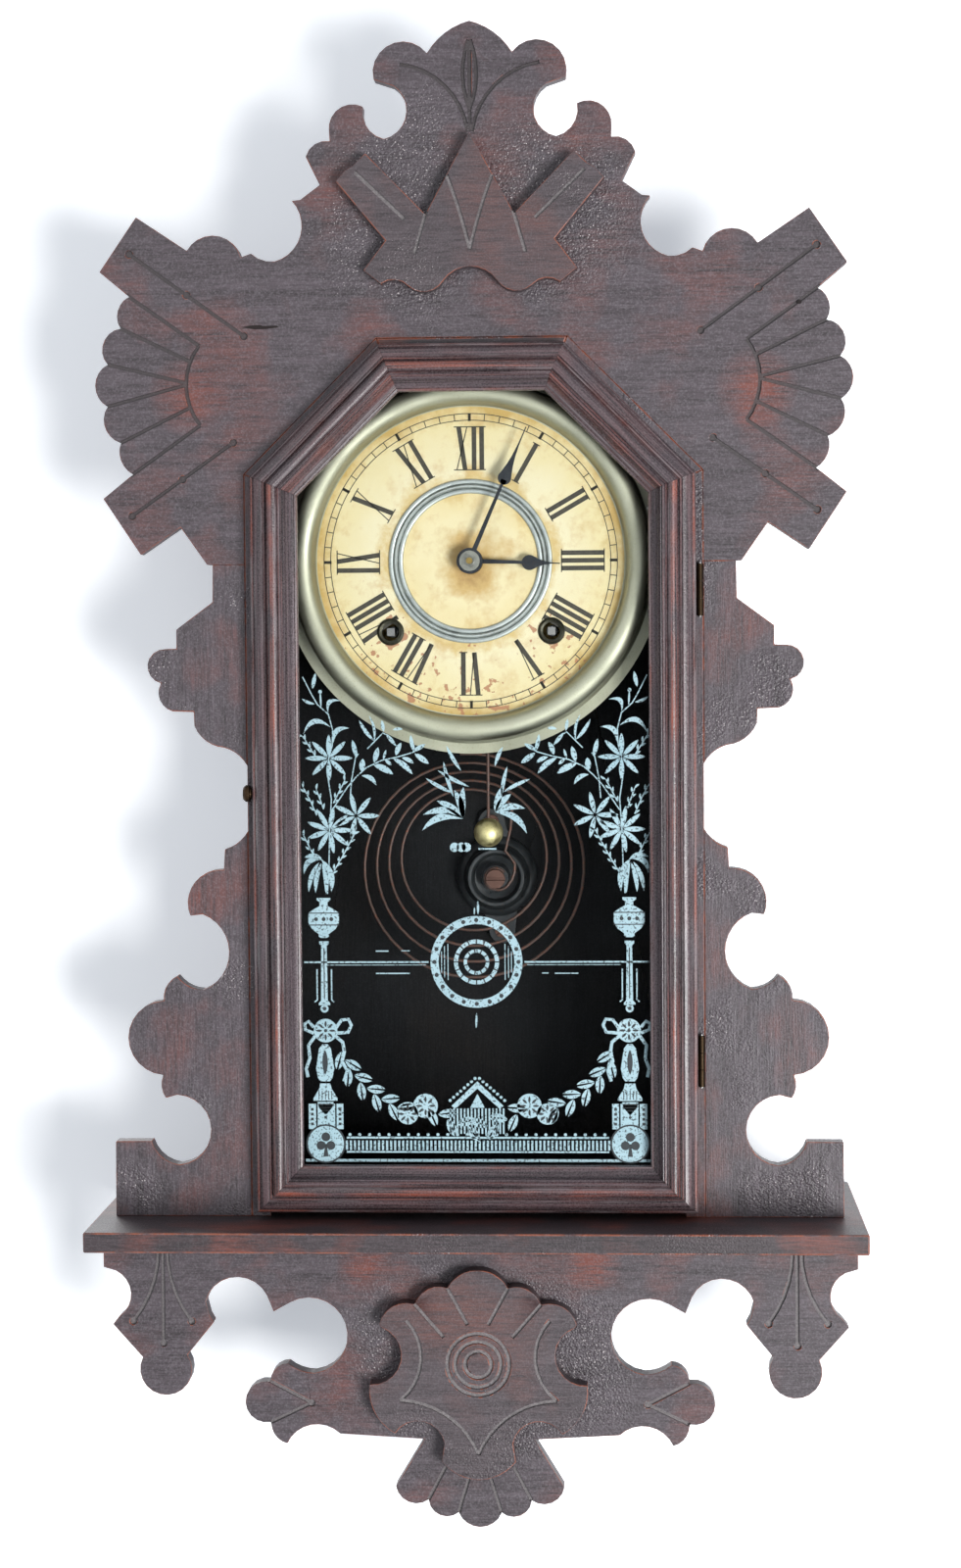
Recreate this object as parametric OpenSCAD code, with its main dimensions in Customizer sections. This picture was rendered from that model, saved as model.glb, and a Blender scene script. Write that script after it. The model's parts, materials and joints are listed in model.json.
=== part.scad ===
// Hanging wall clock with a fretwork case, an octagon-top glazed door, an eight-day
// time-and-strike movement, a short pendulum and a coiled wire gong.
// Millimetres. X to the right, Y back into the wall, Z up.
// The origin is the centre of the hanging hole, on the wall plane.
// Inside this file heights are counted from the underside of the shelf, and depths
// are counted forward from the wall.

/* [Case box] */
// Outside width of the case box
case_w = 214; // [208:1:224]
// Height of the case box above the shelf
case_h = 412; // [400:1:430]
// Depth of the case box, wall to front edge
case_d = 90; // [88:1:100]
// Thickness of the case boards
wall_t = 9; // [7:0.5:10]
// Size of the two cut top corners
corner_cut = 62.5; // [58:0.5:64]
// Thickness of the back board
back_t = 6; // [5:0.5:8]
// Height of the hanging hole above the top of the case box
hang_rise = 14.5; // [12:0.5:18]
// Radius of the hanging hole
hang_r = 4; // [3:0.25:5]

/* [Fretwork boards] */
// Thickness of the crest, wing and apron boards
fret_t = 9; // [7:0.5:12]
// How far the crest stands out past each side of the case
crest_over = 69.5; // [62:0.5:80]
// Height of the crest above the top of the case box
crest_rise = 145.2; // [136:0.1:165]
// Height of the joint between crest and wings above the shelf
seam_h = 307.5; // [300:0.5:315]
// How far the wings stand out from the case
wing_w = 64.9; // [58:0.1:75]
// How far the ends of the apron stand in from the ends of the shelf
apron_inset = 2.2; // [1:0.1:6]
// Height of the apron board
apron_h = 139; // [130:0.5:150]
// Thickness of the overlay on the crest
crest_overlay_t = 7.5; // [4:0.5:10]
// Thickness of the shell overlay on the apron
shell_t = 9; // [5:0.5:12]
// Width of the incised lines
groove_w = 1.8; // [1.2:0.1:2.4]
// Depth of the incised lines
groove_d = 1.1; // [0.6:0.1:2]

/* [Shelf] */
// How far the shelf stands out past each side of the case
shelf_over = 73.5; // [70:0.5:84]
// Depth of the shelf, wall to front edge
shelf_d = 130; // [120:1:150]
// Thickness of the shelf
shelf_t = 9.5; // [8:0.5:12]

/* [Door] */
// Edge of the case that shows around the door
door_reveal = 3.5; // [3:0.5:4.5]
// Gap between the bottom of the door and the shelf
door_foot_gap = 3.5; // [2.5:0.5:6]
// Running gap between the case front and the back of the door
door_gap = 1; // [0.8:0.1:1.2]
// Width of the door frame moulding
rail_w = 22; // [20:0.5:24]
// Depth of the glass rebate
rebate_d = 3.4; // [3:0.1:4]
// Width of the glass rebate
rebate_w = 3.5; // [3:0.1:5]
// Thickness of the glass
glass_t = 2.2; // [1.8:0.1:2.4]
// Radius of the hinge knuckles
knuckle_r = 1.5; // [1.4:0.1:1.6]
// Radius of the hinge pins
pin_r = 0.8; // [0.7:0.05:1]
// Length of one hinge knuckle
knuckle_l = 8; // [6:0.5:12]
// Height of the lower hinge above the shelf
hinge_low = 62; // [50:1:110]
// Height of the upper hinge above the shelf
hinge_high = 282; // [240:1:320]
// Height of the catch above the shelf
catch_h = 200.5; // [190:0.5:212]
// Radius of the catch knob
knob_r = 4; // [3:0.25:4.5]
// Length of the catch tongue
tongue_l = 11; // [10.5:0.25:12]

/* [Dial] */
// Centre of the dial, sideways
dial_x = -2; // [-4:0.5:2]
// How far the dial paper lies behind the front edge of the case
dial_set = 14; // [13:0.5:16]
// Gap between the dial pan and the case boards at the side
pan_side_gap = 5; // [4:0.5:7]
// Gap between the dial pan and the top board
pan_top_gap = 3.5; // [3:0.5:6]
// Width of the pan that shows round the paper
bezel_w = 18.5; // [17.5:0.5:20]
// Thickness of the dial pan sheet
pan_t = 0.7; // [0.5:0.1:1]
// Sideways distance from the hand centre to each winding hole
wind_x = 38; // [37.6:0.1:39]
// Drop from the hand centre to the winding holes
wind_drop = 33; // [32:0.5:34]
// Radius of the winding holes in the dial
wind_hole_r = 4.6; // [4:0.1:5.5]
// Gap from the tip of the minute hand to the edge of the paper
minute_gap = 4.8; // [3:0.1:9]
// Length of the hour hand
hour_l = 42.3; // [38:0.1:50]
// Minutes past the hour that the hands show
show_minute = 3.9; // [0:0.1:59.9]
// Hour that the hands show
show_hour = 3; // [0:1:11]

/* [Movement] */
// Front of the back plate, from the wall
plate_back_f = 13.5; // [13:0.25:14]
// Back of the front plate, from the wall
plate_front_f = 44; // [43.5:0.25:45]
// Thickness of the plates
plate_t = 1.5; // [1.2:0.1:1.5]
// Thickness of the wheels
wheel_t = 1.2; // [1:0.1:1.5]
// Radius of the winding arbors
wind_arbor_r = 2.6; // [2.2:0.1:3]
// Radius of the train arbors
arbor_r = 1.1; // [0.9:0.1:1.3]
// Radius of the minute arbor
minute_arbor_r = 1.5; // [1.3:0.1:1.6]
// Radial running clearance of every pivot
pivot_gap = 0.05; // [0.03:0.01:0.09]
// Radius of the plate pillars
pillar_r = 3; // [2.5:0.1:3.2]
// Teeth of the great wheels
great_teeth = 72; // [70:2:74]
// Teeth of the second wheels
second_teeth = 60; // [58:2:62]
// Teeth of the centre wheel
center_teeth = 72; // [70:2:74]
// Teeth of the third wheel
third_teeth = 60; // [58:2:62]
// Teeth of the escape wheel
escape_teeth = 38; // [34:1:42]

/* [Pendulum and gong] */
// Suspension point above the hand centre
suspend_rise = 25; // [24:0.5:27]
// Pendulum line to the right of the hand centre
pendulum_x = 6.5; // [6:0.5:7]
// Length of the pendulum, suspension point to bob centre
pendulum_l = 154.5; // [146:0.5:160]
// Radius of the pendulum rod wire
rod_r = 0.8; // [0.6:0.1:1]
// Radius of the pendulum bob
bob_r = 7; // [6:0.25:9]
// Centre of the gong base, sideways
gong_x = 6.5; // [3:0.5:9]
// Centre of the gong base below the hand centre
gong_drop = 154; // [152:0.5:158]
// Radius of the gong base
gong_base_r = 20; // [18:0.5:21]
// Radius of the outermost turn of the gong coil
coil_r1 = 57; // [55:0.5:58]
// Radius of the innermost turn of the gong coil
coil_r0 = 32; // [30:0.5:33]
// Turns of the gong coil
coil_turns = 4; // [3:1:4]
// How far the outermost turn sags below the innermost
coil_sag = 7; // [5:0.5:8]
// Radius of the gong wire
wire_r = 0.75; // [0.6:0.05:1]

/* [Hidden] */

walnut = [0.17, 0.09, 0.07];
dark_wood = [0.12, 0.08, 0.06];
brass = [0.72, 0.58, 0.30];
nickel = [0.62, 0.60, 0.50];
steel = [0.36, 0.37, 0.40];

case_half = case_w / 2;
case_top_z = shelf_t + case_h;
hang_z = case_top_z + hang_rise;
inner_half = case_half - wall_t;
shelf_w = case_w + 2 * shelf_over;
crest_w = case_w + 2 * crest_over;
apron_w = shelf_w - 2 * apron_inset;
dial_f = case_d - dial_set;
pan_r = inner_half - abs(dial_x) - pan_side_gap;
paper_r = pan_r - bezel_w;
dial_z = case_top_z - wall_t - pan_top_gap - pan_r;
seam_z = shelf_t + seam_h;
fret_f = case_d - fret_t;
door_f = case_d + door_gap;
door_foot_z = shelf_t + door_foot_gap;
fit = 0.05;

// ---- plane geometry ----

// Points of the arc from a (left out) through b to c
function arc3(a, b, c, n = 8) =
    let (k = 2 * (a[0] * (b[1] - c[1]) + b[0] * (c[1] - a[1]) + c[0] * (a[1] - b[1])),
         u = ((a * a) * (b[1] - c[1]) + (b * b) * (c[1] - a[1]) + (c * c) * (a[1] - b[1])) / k,
         v = ((a * a) * (c[0] - b[0]) + (b * b) * (a[0] - c[0]) + (c * c) * (b[0] - a[0])) / k,
         r = norm(a - [u, v]),
         t0 = atan2(a[1] - v, a[0] - u),
         t2 = atan2(c[1] - v, c[0] - u),
         sweep = k > 0 ? turn(t2 - t0) : -turn(t0 - t2))
    [for (i = [1:n]) [u, v] + r * [cos(t0 + sweep * i / n), sin(t0 + sweep * i / n)]];

// An angle brought into 0 to 360
function turn(a) = a - 360 * floor(a / 360);

// The same outline stretched
function stretch(p, sx, sy) = [for (q = p) [q[0] * sx, q[1] * sy]];

// The same outline moved
function shift(p, d) = [for (q = p) q + d];

// The left-hand copy of an outline, in the other order
function flip(p) = [for (i = [len(p) - 1:-1:0]) [-p[i][0], p[i][1]]];

// Unit normal of an open line of points at point i
function normal_at(p, i) =
    let (d = p[min(i + 1, len(p) - 1)] - p[max(i - 1, 0)]) [-d[1], d[0]] / norm(d);

// Outline of a line of points drawn with a broad pen
function stroke(p, w) = concat(
    [for (i = [0:len(p) - 1]) p[i] + normal_at(p, i) * w / 2],
    [for (i = [len(p) - 1:-1:0]) p[i] - normal_at(p, i) * w / 2]);

// A ring sector between two radii
function sector(r0, r1, a0, a1, n = 6) = concat(
    [for (i = [0:n]) let (a = a0 + (a1 - a0) * i / n) r1 * [cos(a), sin(a)]],
    [for (i = [n:-1:0]) let (a = a0 + (a1 - a0) * i / n) r0 * [cos(a), sin(a)]]);

// The octagon-topped outline of the case, drawn in by d, its foot at height z0
function case_line(d, z0) =
    let (h = case_half - d,
         top = case_top_z - d,
         c = case_half + case_top_z - corner_cut - d * sqrt(2))
    [[h, z0], [h, c - h], [c - top, top], [top - c, top], [-h, c - h], [-h, z0]];

// Draws face on: x right, y up from the shelf underside, z forward from depth f
module face(f = 0) {
    translate([0, -f, -hang_z]) rotate([90, 0, 0]) children();
}

// The same, about the hand centre of the dial
module dial_face(f = 0) {
    face(f) translate([dial_x, dial_z, 0]) children();
}

// An incised line from a that runs out over the edge of the board at b
function run_out(a, b) = [a, b + 1.5 * (b - a) / norm(b - a)];

module board(points, t) {
    linear_extrude(t) polygon(points);
}

// One incised line below the front face of a board of thickness t
module incise(points, t) {
    translate([0, 0, t - groove_d]) linear_extrude(groove_d + 1) polygon(stroke(points, groove_w));
}

// The small drilled dot at the end of an incised line
module dot(p, t) {
    translate([p[0], p[1], t - groove_d - 0.3]) cylinder(h = groove_d + 1.3, r = groove_w, $fn = 10);
}

// ---- case box ----

outer_line = case_line(0, shelf_t);
inner_line = case_line(wall_t, shelf_t);

module case_wall(i) {
    face() board([outer_line[i], outer_line[i + 1], inner_line[i + 1], inner_line[i]], case_d);
}

hinge_slot_d = 11;
leaf_t = 0.8;
hinge_gap = 0.4;
hinge_x = case_half - door_reveal + knuckle_r + hinge_gap;
hinge_f = case_d + knuckle_r + 0.5;

module hinge_slots() {
    for (h = [hinge_low, hinge_high])
        face(case_d - hinge_slot_d)
            translate([hinge_x - leaf_t / 2, shelf_t + h, 0])
                cube([leaf_t, 3 * knuckle_l, hinge_slot_d + 1]);
}

// Corner where the keeper pin of the catch is driven in
keeper_back = 6.2;
keeper_drop = 2.9;
keeper_r = 0.9;
catch_f = door_f + 4;
catch_z = shelf_t + catch_h;

module case_side_left() {
    color(walnut) difference() {
        case_wall(4);
        face(catch_f - keeper_back)
            translate([-inner_half, catch_z - keeper_drop, 0]) rotate([0, -90, 0])
                translate([0, 0, -1]) cylinder(h = 6, r = keeper_r, $fn = 24);
    }
}

module case_side_right() {
    color(walnut) difference() {
        case_wall(0);
        hinge_slots();
    }
}

module case_shoulders() {
    color(walnut) {
        case_wall(1);
        case_wall(3);
    }
}

// The hanger plate is let into the back board and the top, and held by two screws
hanger_w = 34;
hanger_t = 2;
hanger_foot = hang_rise + 20;
hanger_head = 11;
hanger_screw_x = 10;
hanger_screw_drop = hanger_foot - 6;

module hanger_recess() {
    face(-1) translate([-hanger_w / 2, hang_z - hanger_foot, 0])
        cube([hanger_w, hanger_foot + 1, hanger_t + 1]);
}

module case_top() {
    color(walnut) difference() {
        case_wall(2);
        hanger_recess();
    }
}
screw_r = 1.4;
head_r = 2.9;

foot_x = 52;
foot_y = [48, -46];
pan_back_f = dial_f - 0.3 - pan_t;
pan_lip_f = pan_back_f - 8;
batten_w = 19;
batten_in = inner_half - batten_w;
shoulder_z = case_top_z - corner_cut - wall_t * (sqrt(2) - 1);
batten_half = shoulder_z - 3.27 - dial_z;
batten_t = 13;
batten_f = pan_lip_f - batten_t;

module back_board() {
    color(dark_wood) difference() {
        face() board(inner_line, back_t);
        hanger_recess();
        hanger_screw_places(fit, back_t);
        movement_screw_places(fit);
        gong_foot_places(screw_bite) cylinder(h = back_t, r = screw_r + fit, $fn = 24);
    }
}

module shelf() {
    color(walnut) face() translate([-shelf_w / 2, 0, 0]) cube([shelf_w, shelf_t, shelf_d]);
}

// ---- fretwork ----

// The crest is drawn 353 wide, 104.5 high from its seam to the top of the case, then 145.2
drawn_crest = [353, 104.5, 145.2];

function crest_height(y) = y > drawn_crest[1]
    ? case_top_z + (y - drawn_crest[1]) * crest_rise / drawn_crest[2]
    : seam_z + y * (case_top_z - seam_z) / drawn_crest[1];

// Drawn points of the crest at their real places; s is -1 for the left-hand copy
function crest_line(points, s = 1) =
    [for (p = points) [s * p[0] * crest_w / drawn_crest[0], crest_height(p[1])]];

function crest_edge() = concat(
    [[0, 249.7]],
    arc3([0, 249.7], [11.5, 244.2], [19.7, 235.2], 6),
    arc3([19.7, 235.2], [33, 240.6], [44.9, 227.9], 8),
    [[44.5, 223.4]],
    arc3([38.5, 221.9], [29.4, 209.5], [39.9, 196.2], 10),
    arc3([39.9, 196.2], [46, 199.5], [49.6, 211.2], 5),
    arc3([49.6, 211.2], [61.5, 210], [65.5, 200], 7),
    [[65.2, 195.6]],
    arc3([65.2, 195.6], [72.5, 194.1], [76.5, 188.6], 4),
    [[70.1, 175.5], [79.3, 168.8], [83.2, 168.4]],
    arc3([83.2, 168.4], [78.9, 154.5], [91.5, 140.6], 10),
    arc3([91.5, 140.6], [97.5, 141.3], [102.6, 144.4], 3),
    [[107.2, 142.7]],
    arc3([107.2, 142.7], [118.5, 152.8], [132.6, 146.1], 9),
    [[156.3, 161.9], [173.8, 136.7], [160.1, 125.2]],
    arc3([160.1, 125.2], [165.4, 118.6], [164.3, 110.5], 6),
    arc3([164.3, 110.5], [172.8, 102.5], [170.6, 93.8], 7),
    arc3([170.6, 93.8], [176.5, 84.5], [170.9, 74.2], 8),
    arc3([170.9, 74.2], [172.6, 66.5], [164.8, 57.2], 7),
    arc3([164.8, 57.2], [165.2, 50.5], [159.3, 42.5], 6),
    [[173.4, 31.3], [156, 4.9], [137.1, 17.6], [124.8, 0]]);

module crest_lines(t) {
    fan = concat([[127.4, 102]], arc3([127.4, 102], [133.6, 84.6], [127.2, 65], 8));
    rays = [run_out([127.4, 102], [160.1, 125.2]), run_out([132.2, 95], [164.3, 110.5]),
        run_out([133.5, 84.8], [170.6, 93.8]), run_out([133.5, 83.9], [170.9, 74.2]),
        run_out([131.5, 73.5], [164.8, 57.2]), run_out([127.2, 65], [159.3, 42.5])];
    arms = [[[159.7, 144.8], [106.3, 106.2]], [[159.8, 23.1], [111.8, 56.8]]];
    curl = concat([[1, 199]], arc3([1, 199], [12, 220.5], [32.4, 230.3], 8));
    leaf = concat([[0, 209]], arc3([0, 209], [3.2, 226], [0.4, 241], 6));
    for (s = [-1, 1]) {
        for (line = concat([fan, curl, leaf], rays, arms))
            incise(crest_line(line, s), t);
        for (arm = arms)
            for (p = crest_line([arm[0], (arm[0] + arm[1]) / 2, arm[1]], s))
                dot(p, t);
    }
    incise(crest_line([[0, 199], [0, 241]]), t);
}

module crest_board() {
    edge = crest_line(crest_edge());
    top = case_line(0, seam_z);
    color(walnut) face(fret_f) difference() {
        board(concat(edge, [top[0], top[1], top[2]], [top[3], top[4], top[5]], flip(edge)), fret_t);
        crest_lines(fret_t);
    }
}

function crest_overlay_edge() = concat(
    [[0, 197.7], [20.5, 160.2], [48.1, 188.5], [54.3, 182.6], [57.5, 180.8], [62, 175.8],
     [39.2, 148.4], [49.4, 135], [41.3, 128.6]],
    arc3([41.3, 128.6], [34.8, 130.4], [28.5, 127.3], 4),
    arc3([28.5, 127.3], [20.5, 124.6], [12.5, 129.5], 6),
    arc3([12.5, 129.5], [6.5, 134.6], [0, 136.1], 4));

module crest_overlay() {
    edge = crest_line(crest_overlay_edge());
    t = crest_overlay_t;
    color(walnut) face(case_d) difference() {
        board(concat(edge, flip(edge)), t);
        for (s = [-1, 1])
            for (line = [run_out([25.7, 142.3], [20.5, 160.2]), [[53, 180], [30, 158]],
                         concat([[10.5, 178]], arc3([10.5, 178], [5.2, 163], [0, 144], 6))])
                incise(crest_line(line, s), t);
    }
}

wing_sx = wing_w / 64.9;
wing_sy = seam_h / 307.5;

function upper_wing_edge() = concat(
    [[0, 307.5], [15.2, 307.5], [15.5, 290.1], [32.8, 277.3], [32.8, 268.4], [38, 268.3]],
    arc3([38, 268.3], [46.6, 260], [40.4, 252.2], 8),
    arc3([40.4, 252.2], [41.4, 246], [35, 239], 6),
    [[25, 238.6], [24.7, 232]],
    arc3([24.7, 232], [21, 226.4], [10.8, 221.8], 6),
    arc3([10.8, 221.8], [4.5, 218.6], [0, 213.2], 5));

function lower_wing_edge() = concat(
    [[0, 182.6]],
    arc3([0, 182.6], [4.4, 177.4], [11, 174], 5),
    [[11.6, 164.4], [13.5, 164.4]],
    arc3([13.5, 164.4], [26.4, 157.2], [27.8, 142.6], 9),
    [[22, 143.3]],
    arc3([22, 143.3], [9.6, 126], [21.8, 107.6], 12),
    arc3([21.8, 107.6], [29, 109.5], [34.3, 114.2], 5),
    arc3([34.3, 114.2], [39.4, 109.6], [40.9, 102.5], 5),
    arc3([41.4, 102.5], [58, 85.2], [41.6, 67.1], 12),
    arc3([41.6, 67.1], [42.5, 61.5], [40.5, 56.2], 4),
    [[35, 57.7]],
    arc3([35, 57.7], [19.2, 42.5], [34.3, 24.5], 12),
    arc3([34.3, 24.5], [42.5, 28], [47.5, 35.7], 5),
    [[64.6, 35.6], [64.9, 0], [0, 0]]);

// s is 1 on the right and -1 on the left
module wing(s) {
    for (edge = [upper_wing_edge(), lower_wing_edge()]) {
        p = shift(stretch(edge, wing_sx, wing_sy), [case_half, shelf_t]);
        board(s > 0 ? p : flip(p), fret_t);
    }
}

module wing_left() {
    color(walnut) face(fret_f) wing(-1);
}

module wing_right() {
    color(walnut) face(fret_f) wing(1);
}

apron_sx = apron_w / 356.6;
apron_sy = apron_h / 139;

function apron_edge() = concat(
    [[0, 0], [178.3, 0], [178.3, -15.1], [172.5, -16.8]],
    arc3([172.5, -16.8], [165.4, -27.5], [171, -38.6], 8),
    [[174.1, -42.5], [160.1, -58.3]],
    arc3([160.1, -58.3], [149.2, -76.5], [138.7, -57.1], 14),
    [[126, -41.5], [128, -38]],
    arc3([130.2, -35.5], [118.8, -20.3], [100.5, -28.5], 10),
    [[97.4, -36.2], [89.5, -31.8]],
    arc3([89.5, -31.8], [62.4, -46.8], [78.1, -65.4], 14),
    arc3([78.1, -65.4], [85, -64.2], [90.7, -60.9], 4),
    arc3([90.7, -60.9], [96.9, -63.6], [99.2, -69.8], 5),
    arc3([99.8, -69.8], [111.2, -80.9], [99.3, -89.1], 10),
    arc3([99, -89.8], [97.2, -95.6], [91.5, -99.4], 5),
    arc3([91.5, -99.4], [79.5, -90.3], [66.2, -94.5], 8),
    [[26.1, -96.8], [40, -119.5]],
    arc3([40, -119.5], [35.5, -126.3], [24.5, -125.9], 6),
    arc3([24.5, -126.2], [17.5, -133.8], [10.2, -131.9], 6),
    arc3([10.2, -132.2], [5.6, -137.4], [0, -139], 4));

module apron_board() {
    edge = stretch(apron_edge(), apron_sx, apron_sy);
    lines = [[[24.5, -126], [16.1, -110]], [[10.2, -132], [4.7, -114]],
        [[99, -69.6], [79.6, -79.8]], [[99.2, -89.2], [79.6, -79.8]],
        concat([[152.5, 1]], arc3([152.5, 1], [155.5, -26], [164.3, -41], 6)),
        [[149.8, 1], [150, -51.5]],
        concat([[147.2, 1]], arc3([147.2, 1], [144.5, -26], [136.5, -41], 6))];
    dots = [[79.6, -79.8], [164.3, -41], [150, -51.5], [136.5, -41]];
    color(walnut) face(fret_f) difference() {
        board(concat(edge, flip(edge)), fret_t);
        for (s = [-1, 1]) {
            for (line = lines)
                incise(stretch(line, s * apron_sx, apron_sy), fret_t);
            for (p = dots)
                dot([s * p[0] * apron_sx, p[1] * apron_sy], fret_t);
        }
    }
}

shell_centre = -58.8;

function shell_edge() = concat(
    [[0, -14.1]],
    arc3([0, -14.1], [8, -16], [14.1, -22.6], 6),
    arc3([14.6, -22.6], [23.5, -23], [29.5, -30.2], 6),
    arc3([30, -30.2], [39.5, -31], [46.5, -39.8], 6),
    [[45.3, -41.5]],
    arc3([45.3, -41.5], [36.3, -53.5], [51.3, -68.5], 10),
    arc3([51.3, -68.5], [50.6, -78], [39.4, -91.9], 7),
    arc3([39.4, -91.9], [27.5, -85.9], [16.2, -96.4], 8),
    [[17.5, -105]],
    arc3([17.5, -105], [9.5, -111.5], [0, -113.8], 6));

module shell_overlay() {
    edge = stretch(shell_edge(), apron_sx, apron_sy);
    lines = [[[14.3, -22.6], [4.8, -40]], [[29.8, -30.2], [16.1, -46]],
        concat([[33.8, -38]], arc3([33.8, -38], [26.9, -54.1], [36.9, -76.1], 8)),
        concat([[36.9, -76.1]], arc3([36.9, -76.1], [18.5, -81], [0, -101.6], 9))];
    color(walnut) face(case_d) difference() {
        board(concat(edge, flip(edge)), shell_t);
        for (s = [-1, 1])
            for (line = lines)
                incise(stretch(line, s * apron_sx, apron_sy), shell_t);
        for (r = [6.2, 10.8, 14.6])
            translate([0, shell_centre * apron_sy, shell_t - groove_d])
                difference() {
                    cylinder(h = 3, r = r + groove_w / 2, $fn = 48);
                    translate([0, 0, -1]) cylinder(h = 5, r = r - groove_w / 2, $fn = 48);
                }
    }
}

// Rubbed blocks in the angles behind the boards
block = 12;

module glue_blocks() {
    color(dark_wood) for (s = [-1, 1]) {
        face(fret_f - block) translate([s * (case_half + block / 2) - block / 2, 0, 0]) {
            translate([0, shelf_t, 0]) cube([block, wing_sy * 40, block]);
            translate([0, shelf_t + wing_sy * 238, 0]) cube([block, wing_sy * 60, block]);
            translate([0, seam_z + 4, 0]) cube([block, 34, block]);
        }
        face(fret_f - block) translate([s * (case_half + 3) - 30, -block, 0])
            cube([60, block, block]);
    }
}

// ---- hanging plate and screws ----

module hanger_plate() {
    top = hang_z + hanger_head;
    color(steel) difference() {
        face() translate([-hanger_w / 2, hang_z - hanger_foot, 0])
            cube([hanger_w, hanger_foot + hanger_head, hanger_t]);
        face(-1) translate([0, hang_z, 0]) cylinder(h = hanger_t + 2, r = hang_r, $fn = 48);
        hanger_screw_places(fit, back_t);
    }
}

// Countersunk screws through the hanger plate, drawn larger by g where they are cut
module hanger_screw_places(g, deep) {
    face(-g) for (s = [-1, 1])
        translate([s * hanger_screw_x, hang_z - hanger_screw_drop, 0]) {
            cylinder(h = deep + 2 * g, r = screw_r + g, $fn = 24);
            cylinder(h = hanger_t - 0.4 + g, r1 = head_r + g, r2 = screw_r + g, $fn = 24);
        }
}

// Screws that hold the movement feet to the back board
module movement_screw_places(g) {
    dial_face(2) for (s = [-1, 1], y = foot_y)
        translate([s * foot_x, y, 0])
            cylinder(h = plate_back_f - 2 + 4 * g, r = screw_r + g, $fn = 24);
}

dial_screw_a = [16, 164, 196, 344];
dial_screw_l = batten_t - 5;
dial_screw_inset = 2.6;

module dial_screw_places(g) {
    dial_face(pan_lip_f - dial_screw_l) for (a = dial_screw_a)
        rotate(a) translate([pan_r - dial_screw_inset, 0, 0])
            cylinder(h = dial_screw_l + pan_t + 4 * g, r = 1 + g, $fn = 24);
}

module case_screws() {
    color(steel) {
        hanger_screw_places(0, back_t - 1);
        movement_screw_places(0);
        dial_face(plate_back_f) for (s = [-1, 1], y = foot_y)
            translate([s * foot_x, y, 0]) cylinder(h = 1.6, r = head_r, $fn = 24);
        dial_screw_places(0);
        dial_face(pan_lip_f + pan_t) for (a = dial_screw_a)
            rotate(a) translate([pan_r - dial_screw_inset, 0, 0]) cylinder(h = 1, r = 1.9, $fn = 24);
    }
}

// Upright battens inside the case that carry the dial pan
module dial_battens() {
    color(dark_wood) difference() {
        face(batten_f) for (s = [-1, 1])
            translate([s > 0 ? batten_in : -inner_half, dial_z - batten_half, 0])
                cube([batten_w, 2 * batten_half, batten_t]);
        dial_screw_places(fit);
    }
}

// ---- gong ----

// The wire is six-sided, so it seats flat between the base and the screw collar
gong_f = 27;
gong_z = dial_z - gong_drop;
wire_flat = wire_r * sin(60) + fit;
gong_post_h = gong_f - wire_flat - back_t;
loop_r = 5.2;
lug_t = 4;
lug_r = 6.5;
lug_at = [2.4, -26.9];
screw_bite = 2;

module gong_foot_places(f) {
    face(f) translate([gong_x, gong_z, 0]) for (s = [-1, 1])
        translate(s * [lug_at[0], lug_at[1], 0]) children();
}

// Turned bell of iron with two lugs, and a post for the screw in its cup
module gong_base() {
    color(steel) difference() {
        union() {
            face(back_t) translate([gong_x, gong_z, 0]) {
                rotate_extrude($fn = 64) polygon([[0, 0], [gong_base_r, 0], [gong_base_r, 4],
                    [gong_base_r - 1.6, 6.4], [gong_base_r - 3.6, 7.4], [15.2, 10.5], [14.8, 14.6],
                    [13.8, 16.6], [12.4, 16.6], [11.4, 15], [10.8, 11.4], [7.4, 10.4],
                    [loop_r + 1.2, gong_post_h - 1], [loop_r + 1.2, gong_post_h], [0, gong_post_h]]);
                for (s = [-1, 1])
                    linear_extrude(lug_t) polygon([[-11, 0], [11, 0],
                        s * lug_at + [lug_r, 0], s * lug_at + [-lug_r, 0]]);
            }
            gong_foot_places(back_t) cylinder(h = lug_t, r = lug_r, $fn = 32);
        }
        gong_foot_places(back_t - 1) cylinder(h = 12, r = screw_r + fit, $fn = 24);
        face(back_t + 8) translate([gong_x, gong_z, 0]) cylinder(h = 20, r = 2 + fit, $fn = 24);
    }
}

// A collared screw through the loop of the wire, and the foot screws of the base
module gong_screws() {
    collar_h = 2 * wire_flat;
    head_h = 2;
    color([0.72, 0.42, 0.30]) {
        face(back_t) translate([gong_x, gong_z, 0]) difference() {
            union() {
                translate([0, 0, 8]) cylinder(h = gong_post_h - 8, r = 2, $fn = 24);
                translate([0, 0, gong_post_h])
                    cylinder(h = collar_h, r = loop_r - wire_r - 0.35, $fn = 32);
                translate([0, 0, gong_post_h + collar_h]) cylinder(h = head_h, r = 4.7, $fn = 32);
            }
            translate([-6, -0.6, gong_post_h + collar_h + head_h - 1]) cube([12, 1.2, 2]);
        }
        gong_foot_places(screw_bite) cylinder(h = back_t + lug_t - screw_bite, r = screw_r, $fn = 24);
        gong_foot_places(back_t + lug_t) difference() {
            cylinder(h = 1.8, r = 3.6, $fn = 32);
            rotate(35) translate([-5, -0.5, 1]) cube([10, 1, 2]);
        }
    }
}

// Centre line of the gong wire: the sagging spiral from outside to inside
coil_centre = [gong_x - 12, gong_z + 11.5];
coil_start = 95;
coil_rings = 24;
coil_steps = coil_turns * coil_rings + 3;

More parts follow.
